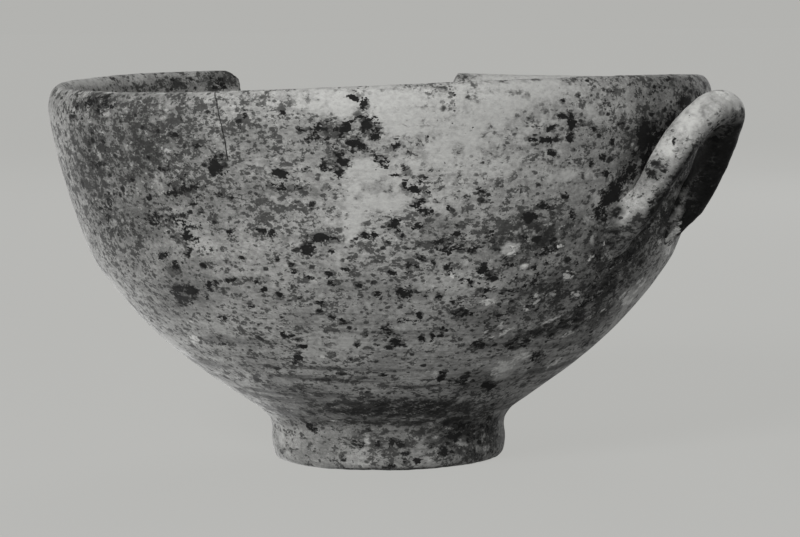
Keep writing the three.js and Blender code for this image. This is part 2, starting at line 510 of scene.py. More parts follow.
# Marks on the wall: column, row, half width and half height in pixels, turn in degrees, strength
LEFT_WALL_STAINS = (
    Mark(95, 104, 26, 14, 0, 0.69), Mark(97, 152, 12, 26, 0, 0.52), Mark(187, 187, 20, 12, 0, 0.6),
    Mark(217, 167, 13, 14, 0, 0.73), Mark(155, 217, 12, 10, 0, 0.65), Mark(185, 230, 16, 18, 0, 0.6),
    Mark(106, 212, 8, 18, 0, 0.6), Mark(216, 167, 9, 9, 0, 1.2), Mark(188, 188.5, 9, 5, -12),
    Mark(172, 194, 7, 3), Mark(220, 196, 4, 4), Mark(231, 198.5, 6, 3, 20), Mark(192.5, 204, 4, 3),
    Mark(201, 211, 3.5, 3), Mark(153, 217.5, 10, 6, 0, 0.9), Mark(178, 222, 11, 9, 0, 0.73),
    Mark(189, 236, 7, 6), Mark(98, 164.5, 9, 6, 0, 0.8), Mark(90, 101, 15, 8, 0, 0.69),
    Mark(75, 118, 8, 4, 0, 0.8), Mark(114, 96, 7, 4, 0, 0.7), Mark(148, 158, 4, 3),
    Mark(173, 135.5, 4, 3.5), Mark(195, 146, 6, 3, 0, 0.9), Mark(133, 180, 3, 3), Mark(149, 197, 3.5, 3.5),
    Mark(111, 169, 3, 3), Mark(245, 115.5, 3, 3), Mark(231, 234, 5, 4, 0, 0.8),
    Mark(107, 218, 6, 9, 20, 0.8), Mark(165, 169, 8, 4, 0, 0.75), Mark(205, 163, 5, 5, 0, 0.8),
    Mark(236, 159, 5, 5, 0, 0.7), Mark(240, 126, 4, 5, 0, 0.6), Mark(200, 127, 4, 4, 0, 0.6),
    Mark(92, 143, 6, 4, 0, 0.8), Mark(55, 92, 3, 6, 20, 0.7),
)
BAR_STAINS = (
    Mark(281, 173.5, 9, 5, 10), Mark(302, 170.5, 8, 2.4, -22), Mark(286, 188, 18, 4.5, 2),
    Mark(270, 185, 5, 4),
)
UPPER_MIDDLE_STAINS = (
    Mark(352, 132, 30, 17, -8, 0.69), Mark(316, 132, 19, 10, 0, 0.73), Mark(338, 160, 14, 16, 20, 0.6),
    Mark(392, 148, 13, 10, -30, 0.53), Mark(414, 194, 12, 22, -10, 0.62), Mark(392, 227, 9, 13, 0, 0.57),
    Mark(302, 130, 6, 4), Mark(321, 130, 9, 5), Mark(326, 140, 5, 9, 10), Mark(309, 140, 7, 4, -20),
    Mark(345, 127, 9, 7, -15), Mark(352, 139, 11, 7, -10), Mark(366, 122, 6, 9, -12),
    Mark(374, 134, 9, 7, 30), Mark(363, 148, 8, 5, 15), Mark(364, 106, 5, 8, 15), Mark(353, 98, 7, 2.4, 35),
    Mark(341, 153, 7, 5, -20), Mark(343, 162, 8, 4.5), Mark(324, 165, 4.5, 9), Mark(340, 172, 5, 5),
    Mark(326, 188, 4, 7, 0, 0.8), Mark(313, 205, 3.5, 6, 20), Mark(396, 146, 9, 4.5, -35),
    Mark(381, 160, 10, 6, 25, 0.85), Mark(406, 170, 4.5, 3.5, -30), Mark(394, 175.5, 7, 2.4, 0),
    Mark(404, 186, 4, 5), Mark(414, 190, 9, 5), Mark(417, 181, 6, 6, 0, 0.8), Mark(426, 178.5, 3, 3),
    Mark(429, 194, 3.5, 3.5), Mark(420, 202, 8, 5, -15), Mark(425, 212, 8, 6), Mark(435, 200, 4, 4, 0, 0.8),
    Mark(483, 178.5, 4, 4, 0, 0.8), Mark(481.5, 192, 6, 5, 0, 0.9), Mark(488, 202, 5, 4, 0, 0.8),
    Mark(447.5, 208.5, 4, 2.4), Mark(283, 112.8, 3, 3), Mark(332, 116.4, 2, 2),
    Mark(427, 140, 3, 4, 0, 0.8), Mark(452, 93, 6, 3, 50, 0.55), Mark(393, 223, 7, 8, 0, 0.85),
    Mark(320, 115, 3, 3, 0, 0.4), Mark(498, 158, 6, 3, 30, 0.5),
)
UPPER_RIGHT_STAINS = (
    Mark(571, 122, 4, 12), Mark(562, 116, 6, 3), Mark(551, 140, 22, 3.5, -3), Mark(533, 139, 9, 4),
    Mark(552, 128, 9, 5, 15, 0.7), Mark(536, 124, 7, 5, 0, 0.75), Mark(551, 153, 6, 4),
    Mark(570, 138, 5, 6), Mark(604.5, 173, 3.5, 5), Mark(587, 81, 3, 1.8), Mark(578, 95, 3, 3),
    Mark(609, 91, 5, 4, 0, 0.7), Mark(606, 106, 5, 6, 0, 0.8), Mark(595, 130, 12, 6, 0, 0.5),
    Mark(621, 126, 4, 4), Mark(612, 141, 3, 6), Mark(602, 156, 4, 5), Mark(591, 163, 3, 4),
    Mark(574, 150.5, 3, 3), Mark(563, 101, 4, 4, 0, 0.6), Mark(667, 79, 5, 3, 0, 0.8),
    Mark(690, 79, 6, 3, 0, 0.8), Mark(650, 92, 20, 8, 0, 0.43), Mark(685, 92, 10, 8, 0, 0.6),
    Mark(566, 197, 4, 4), Mark(530, 217, 9, 5), Mark(548, 206, 12, 6, 0, 0.7), Mark(573, 215, 4, 4, 0, 0.8),
)
HANDLE_CREVICE_STAINS = (
    Mark(648, 130, 13, 12), Mark(643, 150, 9, 14), Mark(634, 157, 5, 9, 15), Mark(621, 181, 6, 12, 32),
    Mark(612, 194, 8, 15, 40, 1.35), Mark(627, 172, 6, 13, 35, 1.1), Mark(646, 138, 10, 18, 18, 1.15),
    Mark(601, 214, 9, 9, 20, 0.9), Mark(684, 103, 7, 9, 30), Mark(672, 120, 6, 9, 30),
    Mark(660, 136, 9, 10, 30), Mark(650, 160, 5, 10, 30), Mark(630, 176, 6, 10, 40), Mark(705, 85, 3, 4),
    Mark(693, 92, 7, 4, 30, 0.8),
)
MIDDLE_STAINS = (
    Mark(318, 238, 12, 7, -20, 1.05), Mark(307, 248, 9, 8, -30, 1.05), Mark(332, 239, 11, 5, 5, 1.05),
    Mark(322, 252, 6, 6, 0, 0.7), Mark(293, 268, 4.5, 9, -35), Mark(272, 233, 5, 5), Mark(261, 231, 6, 4),
    Mark(277.5, 259, 3, 3), Mark(364.5, 236, 5, 4.5), Mark(374, 236, 4, 5), Mark(400, 235, 6, 4.5, 0, 0.85),
    Mark(352, 241.5, 4, 3.5), Mark(391, 213, 4, 5, 0, 0.85), Mark(420, 226, 9, 4, 0, 0.9),
    Mark(456, 233, 5, 4), Mark(469, 235, 7, 4, 0, 0.85), Mark(452, 249, 16, 4), Mark(471, 250, 7, 3.5),
    Mark(436, 242, 8, 3), Mark(409, 267, 4.5, 5.5), Mark(417, 267, 3.5, 4.5), Mark(390.5, 272.5, 5.5, 3.5),
    Mark(359, 284.5, 5, 4), Mark(405, 293, 10, 8, 0, 0.9), Mark(425, 295.5, 6.5, 3.5),
    Mark(438.5, 298, 4, 4.5), Mark(448.5, 268, 4.5, 5), Mark(424.5, 259.5, 7, 2.8),
    Mark(433.5, 261, 3, 3.5), Mark(482, 270, 8, 5, 0, 0.9), Mark(470, 283, 6, 6, 0, 0.8),
    Mark(492, 277, 7, 6, 0, 0.8), Mark(484, 290, 8, 5, 0, 0.7), Mark(401, 320, 6, 3.5),
    Mark(419.5, 314.5, 4, 4), Mark(458, 313, 14, 5, 3, 0.9), Mark(388, 331, 8, 5, 25, 0.9),
    Mark(396, 343, 11, 4, 10), Mark(365, 333, 3.5, 4.5), Mark(432, 336, 3, 3), Mark(422, 338.5, 4.5, 3.5),
    Mark(443.5, 330, 5, 3.5), Mark(357, 344.5, 5, 4, 0, 0.9), Mark(442, 376, 4.5, 8, 25),
    Mark(487.5, 385, 8, 4.5), Mark(477.5, 345, 9, 4, -8), Mark(457, 380, 14, 4, 5, 0.8),
    Mark(385, 375, 7, 2.5, 0, 0.8), Mark(352, 281, 4, 3, 0, 0.8), Mark(378, 296, 5, 6, 20, 0.8),
    Mark(345, 270, 4, 3, 0, 0.8), Mark(331, 250, 4, 4), Mark(344, 322, 5, 4, 0, 0.8),
    Mark(332, 318, 4, 4, 0, 0.8), Mark(505, 345, 6, 4, 0, 0.7), Mark(509, 262, 6, 6, 0, 0.7),
)
LOWER_RIGHT_STAINS = (
    Mark(541, 246, 24, 14, -10, 0.6), Mark(524, 286, 24, 12, -10, 0.58), Mark(548, 268, 20, 10, -20, 0.55),
    Mark(622, 258, 26, 14, -50, 0.62), Mark(598, 288, 30, 12, -48, 0.62), Mark(560, 326, 26, 8, -35, 0.62),
    Mark(533, 337, 30, 8, -24, 0.62), Mark(505, 346, 18, 6, -10, 0.6), Mark(640, 236, 20, 12, -55, 0.6),
    Mark(590, 340, 14, 7, -42, 0.55), Mark(545, 385, 20, 6, -35, 0.5), Mark(536, 357, 16, 7, -30, 0.55),
    Mark(476, 288, 40, 24, 0, 0.42), Mark(440, 245, 44, 16, 0, 0.4), Mark(520, 305, 34, 16, -15, 0.42),
    Mark(425, 340, 36, 16, 0, 0.36), Mark(590, 262, 30, 20, -40, 0.4),
)
LOWER_LEFT_STAINS = (
    Mark(191, 238, 7, 6), Mark(193.5, 227.5, 4, 3.5), Mark(188, 253, 3.5, 4.5), Mark(164, 255.5, 5, 4),
    Mark(174, 268, 8, 8, 20, 0.75), Mark(242, 258, 5.5, 2.6, 40), Mark(203.5, 266.5, 2.6, 5, -35),
    Mark(233.5, 279.5, 5.5, 3, -12), Mark(210, 285.5, 6, 4), Mark(207, 295.5, 4.5, 3.5),
    Mark(181, 290, 12, 6, 5, 1.05), Mark(183, 300, 8, 7, 0, 1.05), Mark(185, 300, 8, 6, -15),
    Mark(194, 292, 5, 5), Mark(256.5, 282.5, 3, 3), Mark(264, 289.5, 4.5, 2.6), Mark(280, 295.5, 4.5, 4),
    Mark(300.5, 298, 4.5, 3), Mark(309, 278, 7, 2.8, 10), Mark(327, 274, 5, 3.5, 0, 0.85),
    Mark(331, 284, 5, 3), Mark(322, 303.5, 6.5, 2.8, 10), Mark(319.5, 311, 4, 3),
    Mark(251, 305.5, 5, 3.5, 10, 0.85), Mark(222.5, 318.5, 6, 3.5, 25, 0.9), Mark(286, 335, 9, 4, 10, 0.8),
    Mark(297.5, 357, 4.5, 7, 10), Mark(268, 366, 8, 2.2, 8), Mark(278, 368, 5, 2, 10),
    Mark(257.5, 379, 7, 4, 20, 0.9), Mark(270.5, 376, 3.5, 2.4), Mark(250, 351, 3, 3, 0, 0.9),
    Mark(303, 347, 5, 3, 0, 0.8), Mark(222, 345, 4, 2.5, 20, 0.7), Mark(236, 233, 5, 4, 0, 0.7),
    Mark(146, 269, 5, 5, 30, 0.7), Mark(123, 277, 5, 8, -30, 0.5), Mark(112, 230, 10, 6, 0, 0.6),
    Mark(318, 381, 14, 2.5, 0, 0.8), Mark(293, 389, 12, 5, 10, 0.55), Mark(335, 376, 8, 3, 0, 0.7),
)
WALL_MARKS = MarkSheet(
    dark=(*LEFT_WALL_STAINS, *BAR_STAINS, *UPPER_MIDDLE_STAINS, *UPPER_RIGHT_STAINS, *HANDLE_CREVICE_STAINS,
          *MIDDLE_STAINS, *LOWER_RIGHT_STAINS, *LOWER_LEFT_STAINS),
    pale=(
        Mark(184, 119.5, 2.6, 2.6, 0, 0.8), Mark(189.5, 322, 5, 3.6, 0, 0.75),
        Mark(194.5, 339, 10, 4.6, 35, 0.75), Mark(213, 146, 5, 4, -20, 0.7), Mark(93, 131, 3, 3, 0, 0.7),
        Mark(323, 357, 5, 2.4, 20, 0.8), Mark(455, 273, 9, 6, -30, 0.7), Mark(439, 286, 12, 4, -5, 0.62),
        Mark(489, 302, 14, 4.5, -5, 0.8), Mark(396, 386, 9, 3, 0, 0.7), Mark(430, 372, 12, 6, 0, 0.6),
        Mark(552, 320, 17, 2, -24, 0.85), Mark(571, 274, 10, 6, -30, 0.6), Mark(575, 294, 8, 6, -40, 0.58),
        Mark(592, 256, 9, 3, -50, 0.62), Mark(606, 242, 7, 3, -60, 0.7), Mark(561, 246, 11, 2.6, -8, 0.56),
        # The marks at columns 628 and 641 by the right edge, and at columns 663 to 671 between the handle's
        # roots, are pale patches, partly pale chips and partly painted reflected light.
        Mark(628, 297, 18, 8, -48, 0.62), Mark(641, 283, 9, 5, -50, 0.6), Mark(566, 337, 16, 5, -35, 0.6),
        Mark(553, 364, 15, 2.4, -38, 0.7), Mark(514, 360, 22, 9, -20, 0.76),
        Mark(497, 371, 13, 7, -10, 0.62), Mark(508, 250, 10, 8, 0, 0.6), Mark(522, 267, 9, 5, -10, 0.48),
        Mark(612, 228, 7, 5, -50, 0.6), Mark(671, 236, 5, 16, 30, 0.62), Mark(669, 249, 6, 9, 32, 0.6),
        Mark(663, 241, 6, 13, 32, 0.5), Mark(498, 330, 22, 10, -10, 0.5), Mark(540, 300, 26, 12, -25, 0.46),
        Mark(596, 312, 20, 8, -40, 0.48),
    ),
    soot_and_shade=(
        Mark(98, 105, 34, 18, 0, 0.85), Mark(98, 160, 36, 70, -8, 0.82), Mark(150, 150, 80, 80, 0, 0.8),
        Mark(140, 220, 50, 50, 0, 0.6), Mark(200, 180, 60, 60, 0, 0.5), Mark(185, 285, 50, 36, 0, 0.45),
        Mark(270, 210, 60, 40, 0, 0.42), Mark(250, 140, 50, 36, 0, 0.38), Mark(240, 98, 28, 11, 0, 0.4),
        # On the lower right, the marks at rows 235 to 340 and columns 530 to 635 are partly soot and partly
        # painted shade, darkest just inside the right edge.
        Mark(330, 140, 55, 22, 0, 0.4), Mark(450, 235, 45, 25, 0, 0.45), Mark(535, 238, 70, 34, -12, 1.05),
        Mark(610, 250, 45, 45, -40, 1.05), Mark(560, 285, 70, 30, -30, 0.8),
        Mark(600, 312, 50, 14, -38, 0.8), Mark(470, 320, 50, 22, 0, 0.4), Mark(635, 238, 34, 15, -50, 1.35),
        Mark(604, 287, 30, 13, -50, 1.35), Mark(575, 317, 28, 10, -38, 1.3),
        Mark(530, 335, 34, 9, -22, 1.2), Mark(481, 346, 26, 6, -8, 0.9), Mark(541, 243, 18, 9, -10, 1.25),
        Mark(660, 85, 45, 14, 0, 0.6), Mark(640, 140, 30, 45, 30, 0.8), Mark(595, 150, 45, 40, 0, 0.4),
        # The marks at rows 375 to 411, just above the foot, are painted shade under the belly.
        Mark(551, 130, 26, 18, 0, 0.4), Mark(405, 408, 115, 13, 0, 1.4), Mark(480, 385, 60, 16, -14, 0.6),
        # The marks at columns 666 and 686 are painted shade on the wall inside the handle's loop and between
        # its roots.
        Mark(300, 390, 50, 10, 15, 0.5), Mark(520, 375, 40, 8, -32, 0.5), Mark(666, 214, 20, 40, 22, 1.0),
        Mark(330, 265, 90, 50, 0, 0.25), Mark(686, 168, 7, 28, 27, 1.5), Mark(284, 411, 22, 6, 20, 1.1),
    ),
    lime_and_light=(
        # The first mark is a painted highlight along the near lip.
        Mark(140, 91, 85, 3.2, 0, 0.75), Mark(328, 102, 42, 22, 0, 0.9), Mark(450, 112, 110, 40, 0, 0.9),
        Mark(410, 100, 70, 20, 0, 1.05), Mark(500, 104, 36, 18, 0, 1.0), Mark(560, 92, 50, 12, 0, 0.8),
        Mark(515, 86, 64, 9, 0, 1.0), Mark(450, 150, 75, 34, 0, 0.74), Mark(510, 165, 50, 20, 0, 0.68),
        Mark(572, 178, 42, 16, 0, 0.62), Mark(600, 115, 30, 26, 0, 0.5), Mark(368, 170, 24, 22, 0, 1.0),
        Mark(392, 180, 26, 18, 0, 0.85), Mark(354, 200, 19, 32, 0, 1.0), Mark(374, 200, 36, 15, 0, 1.05),
        Mark(349, 230, 9, 22, 0, 0.95), Mark(275, 100, 30, 14, 0, 0.45), Mark(430, 205, 40, 16, 0, 0.5),
        Mark(438, 286, 34, 16, 0, 0.55), Mark(300, 200, 40, 14, 0, 0.4), Mark(262, 200, 40, 10, 0, 0.45),
        Mark(325, 225, 30, 14, 0, 0.35), Mark(350, 262, 26, 22, 0, 0.4), Mark(338, 345, 22, 14, 0, 0.7),
        Mark(452, 275, 14, 9, -30, 0.6), Mark(518, 361, 18, 6, -22, 0.85), Mark(598, 200, 10, 8, 0, 0.7),
        # This line and the first two marks of the next, along the left and lower-left edge, are painted rim
        # light.
        Mark(56, 150, 6, 60, -8, 0.35), Mark(84, 240, 6, 40, -22, 0.3), Mark(118, 300, 13, 46, -35, 0.85),
        # The last mark on this line and the first on the next are a pale streak between the handle's roots,
        # and the mark at column 634 a pale patch by the right edge: partly pale crust, partly painted
        # reflected light.
        Mark(172, 352, 13, 52, -48, 0.85), Mark(222, 389, 10, 34, -55, 0.7), Mark(677, 222, 5, 20, 14, 0.9),
        Mark(668, 245, 8, 16, 32, 0.7), Mark(634, 294, 26, 11, -48, 0.95), Mark(574, 284, 8, 14, 10, 0.5),
        Mark(511, 249, 10, 9, 0, 0.8), Mark(524, 267, 8, 5, 0, 0.7), Mark(589, 222, 10, 10, 0, 0.4),
        Mark(552, 320, 18, 2.2, -24, 0.6), Mark(512, 365, 30, 14, -18, 0.72),
        Mark(431, 372, 14, 13, 0, 0.6), Mark(594, 240, 4, 9, 10, 0.5), Mark(262, 175, 8, 10, 0, 0.35),
        Mark(155, 200, 6, 12, 0, 0.3), Mark(228, 330, 30, 8, 10, 0.3),
    ),
)
FAR_WALL_MARKS = MarkSheet(
    dark=(
        Mark(222, 82, 20, 7, 0, 0.6), Mark(233, 76, 6, 6, 0, 0.7), Mark(178, 82, 14, 5, 0, 0.5),
        Mark(111, 78.5, 2, 2),
    ),
    soot_and_shade=(
        Mark(222, 80, 30, 14, 0, 1.0), Mark(178, 84, 26, 7, 0, 1.0), Mark(140, 88, 40, 3, 0, 0.7),
        Mark(470, 77, 14, 3, 0, 0.6), Mark(508, 77, 12, 2, 0, 0.5),
    ),
    lime_and_light=(
        Mark(90, 82, 40, 8, 0, 0.75), Mark(150, 76, 30, 5, 0, 0.5), Mark(530, 76, 90, 8, 0, 0.85),
    ),
)
FOOT_MARKS = MarkSheet(
    dark=(
        Mark(376, 444, 8, 3.5, 0, 0.9), Mark(392, 441, 4, 6, 20), Mark(402, 444, 6, 4),
        Mark(407, 453, 5, 2.6), Mark(405, 461, 4.5, 3), Mark(417, 461, 4.5, 3.4), Mark(391, 467.5, 7, 3.4),
        Mark(344, 458.5, 5, 3.4, 0, 0.9), Mark(311, 427, 9, 5, 0, 0.8), Mark(443, 451.5, 6, 5),
        Mark(452, 437, 8, 9), Mark(491, 426.5, 9, 10), Mark(432, 442, 7, 6, 0, 0.8),
        Mark(470, 440, 9, 7, 0, 0.75), Mark(480, 452, 10, 4, 0, 0.6), Mark(361, 447, 4, 3),
        Mark(385, 454, 3, 3), Mark(322, 442, 4, 3, 0, 0.7), Mark(460, 425, 14, 4, 0, 0.8),
        Mark(361, 440, 10, 6, 0, 0.75),
    ),
    soot_and_shade=(
        # The marks at rows 413 and 419 along the foot's top, at row 472 along its bottom edge, and at columns
        # 434 and 466 on its right side are painted shade; the rest darken the middle of the foot.
        Mark(466, 438, 52, 32, 0, 1.1), Mark(405, 419, 115, 8, 0, 1.4), Mark(400, 445, 50, 22, 0, 0.7),
        Mark(390, 472, 120, 5, 0, 1.5), Mark(434, 436, 32, 20, 0, 0.85), Mark(340, 445, 40, 24, 0, 0.4),
        Mark(367, 435, 22, 13, 0, 1.0), Mark(286, 413, 22, 6, 15, 1.1),
    ),
    lime_and_light=(
        # The first mark, at the foot's left end, is painted rim light.
        Mark(279, 444, 7, 16, 0, 0.7), Mark(298, 448, 14, 14, 0, 0.3),
    ),
)
HANDLE_MARKS = MarkSheet(
    dark=(
        Mark(674, 141, 2, 4), Mark(655, 172, 16, 10, -50, 0.6), Mark(706, 136, 10, 3, -45, 0.6),
        Mark(716, 128, 12, 2.5, -42, 0.6), Mark(657, 195, 18, 3, -52, 0.6),
    ),
    pale=(
        # The two marks on the tip are painted highlights; the two at columns 668 and 675 are a pale streak
        # between the roots, partly pale crust and partly painted reflected light.
        Mark(729, 96, 18, 7, 14, 0.85), Mark(738, 104, 7, 9, -20, 0.9), Mark(675, 230, 6, 18, 27, 0.56),
        Mark(668, 242, 7, 11, 24, 0.72),
    ),
    soot_and_shade=(
        # The first seven marks, on the far arm, under the tip, along the near arm's lower side, on the far
        # root and between the roots, are painted shade in the loop and under the arms; the rest are dark
        # mottling on the near arm and round the near root.
        Mark(728, 150, 20, 46, 28, 2.0), Mark(710, 188, 26, 56, 26, 2.0), Mark(737, 127, 14, 9, -30, 1.15),
        Mark(695, 167, 16, 68, 42, 2.0), Mark(655, 240, 32, 20, -30, 1.4), Mark(688, 218, 8, 24, 26, 1.9),
        Mark(665, 207, 14, 38, 41, 1.9), Mark(655, 172, 18, 12, -45, 0.9), Mark(614, 238, 26, 20, 0, 1.2),
        Mark(610, 222, 13, 15, 30, 1.0), Mark(632, 226, 24, 12, -35, 1.0), Mark(617, 213, 9, 12, 35, 1.2),
    ),
    lime_and_light=(
        # The marks at rows 99 to 144, along the near arm's top and over the tip, are partly pale crust and
        # partly painted light on the handle's lit top; the one at row 228 is the pale streak between the
        # roots, partly painted reflected light.
        Mark(675, 228, 5, 24, 12, 0.7), Mark(695, 113, 20, 32, 44, 0.72), Mark(728, 99, 20, 9, 15, 1.1),
        Mark(713, 108, 14, 9, -35, 0.95), Mark(668, 144, 12, 18, 38, 0.78), Mark(637, 199, 7, 11, 35, 0.45),
    ),
)


@dataclass(frozen=True)
class MarkPainter:
    """Writes the marks that the photograph shows into a piece's vertex attributes."""

    camera: PhotoCamera
    barely_seen: float = -0.14
    well_seen: float = -0.02
    near_margin: float = 0.006
    inner_limit: float = -0.03

    def paint(self, piece: bpy.types.Object, near: MarkSheet, far: MarkSheet = MarkSheet()) -> None:
        """Adds all paint attributes to a piece.

        Args:
            piece: Finished mesh object in its place.
            near: Marks on the half that is nearer to the camera than the bowl's axis.
            far: Marks on the other half, seen over the rim.
        """
        points = vertex_places(piece)
        normals = vector_array(piece.data.vertices, "normal")
        facing = self.camera.facing(points, normals)
        shown = smooth_step(facing, self.barely_seen, self.well_seen)
        pixels = self.camera.project(points)
        in_front = self.camera.in_front(points) > -self.near_margin
        far_seen = far != MarkSheet()
        if far_seen:
            in_front &= outward_reach(points, normals, self.camera.axis) > self.inner_limit
        near_covers, far_covers = near.covers(pixels), far.covers(pixels)
        self.store(piece, Paint.SHOWN, shown * np.where(in_front, 1.0, float(far_seen)))
        for paint, cover in near_covers.items():
            self.store(piece, paint, shown * np.where(in_front, cover, far_covers[paint]))

    @staticmethod
    def store(piece: bpy.types.Object, paint: Paint, values: np.ndarray) -> None:
        """Writes one attribute.

        Args:
            piece: Mesh object.
            paint: Attribute to write.
            values: One number for each vertex.
        """
        attribute = piece.data.attributes.new(paint.value, "FLOAT", "POINT")
        attribute.data.foreach_set("value", values.astype(np.float32))


class NodeBoard:
    """Adds nodes to one tree and links them."""

    def __init__(self, tree: bpy.types.NodeTree) -> None:
        """Starts on an empty tree."""
        self.tree = tree
        tree.nodes.clear()

    def add(self, kind: str, inputs: dict[str, Any] | None = None, **settings: Any) -> bpy.types.Node:
        """Adds a node.

        Args:
            kind: Node type.
            inputs: Values or sockets for the node's inputs, by identifier.
            **settings: Values of the node's own fields.

        Returns:
            The new node.
        """
        node = self.tree.nodes.new(kind)
        for key, value in settings.items():
            setattr(node, key, value)
        sockets = {socket.identifier: socket for socket in node.inputs}
        for key, value in (inputs or {}).items():
            socket = sockets.get(key) or node.inputs[key]
            if isinstance(value, Socket):
                self.tree.links.new(value, socket)
            else:
                socket.default_value = value
        return node

    def math(self, operation: str, first: Any, second: Any, clamp: bool = False) -> Socket:
        """Adds a Math node and gives its result."""
        inputs = {"Value": first, "Value_001": second}
        return self.add("ShaderNodeMath", inputs, operation=operation, use_clamp=clamp).outputs["Value"]

    def times(self, first: Any, second: Any) -> Socket:
        """Multiplies two values."""
        return self.math("MULTIPLY", first, second)

    def plus(self, first: Any, second: Any) -> Socket:
        """Adds two values."""
        return self.math("ADD", first, second)

    def minus(self, first: Any, second: Any, clamp: bool = False) -> Socket:
        """Takes the second value from the first."""
        return self.math("SUBTRACT", first, second, clamp)

    def most(self, first: Any, second: Any) -> Socket:
        """Gives the larger of two values."""
        return self.math("MAXIMUM", first, second)

    def ramp(self, value: Any, slope: float, base: float) -> Socket:
        """Multiplies a value by a slope and adds a base."""
        return self.plus(self.times(value, slope), base)

    def step(self, value: Any, low: Any, high: Any) -> Socket:
        """Maps a value smoothly to 0 at low and 1 at high."""
        inputs = {"Value": value, "From Min": low, "From Max": high}
        return self.add("ShaderNodeMapRange", inputs, interpolation_type="SMOOTHSTEP").outputs["Result"]

    def mix(self, share: Any, first: Any, second: Any, blend: str = "MIX") -> Socket:
        """Mixes two colours.

        Args:
            share: Share of the second colour.
            first: First colour.
            second: Second colour.
            blend: How the second colour goes over the first.

        Returns:
            Mixed colour.
        """
        inputs = {"Factor_Float": share, "A_Color": first, "B_Color": second}
        node = self.add("ShaderNodeMix", inputs, data_type="RGBA", blend_type=blend)
        return next(socket for socket in node.outputs if socket.identifier == "Result_Color")

    def noise(self, place: Any, scale: Any, detail: float, rough: Any) -> Socket:
        """Adds a noise texture and gives its value."""
        inputs = {"Vector": place, "Scale": scale, "Detail": detail, "Roughness": rough}
        return self.add("ShaderNodeTexNoise", inputs).outputs["Fac"]

    def level(self, place: Any, length: Any) -> Socket:
        """Stretches a pattern along the level directions.

        Args:
            place: Place that the pattern is read at.
            length: How many times as long as high the pattern becomes.

        Returns:
            Place to read the stretched pattern at.
        """
        share = self.math("DIVIDE", 1.0, length)
        squeeze = self.add("ShaderNodeCombineXYZ", {"X": share, "Y": share, "Z": 1.0}).outputs["Vector"]
        inputs = {"Vector": place, "Vector_001": squeeze}
        return self.add("ShaderNodeVectorMath", inputs, operation="MULTIPLY").outputs["Vector"]

    def paint(self, paint: Paint) -> Socket:
        """Reads a vertex attribute."""
        return self.add("ShaderNodeAttribute", attribute_name=paint.value).outputs["Fac"]

    def group(self, tree: bpy.types.NodeTree, inputs: dict[str, Any]) -> Socket:
        """Places a node group and gives its first output."""
        return self.add("ShaderNodeGroup", inputs, node_tree=tree).outputs[0]


def new_group(name: str, inputs: Sequence[str]) -> tuple[NodeBoard, bpy.types.Node, bpy.types.Node]:
    """Starts a shader node group with a Vector input, number inputs and one Mask output.

    Args:
        name: Name of the group.
        inputs: Names of its number inputs.

    Returns:
        The board to add nodes to, the input node and the output node.
    """
    tree = bpy.data.node_groups.new(name, "ShaderNodeTree")
    tree.interface.new_socket("Vector", in_out="INPUT", socket_type="NodeSocketVector")
    for key in inputs:
        tree.interface.new_socket(key, in_out="INPUT", socket_type="NodeSocketFloat")
    tree.interface.new_socket("Mask", in_out="OUTPUT", socket_type="NodeSocketFloat")
    board = NodeBoard(tree)
    return board, board.add("NodeGroupInput"), board.add("NodeGroupOutput")


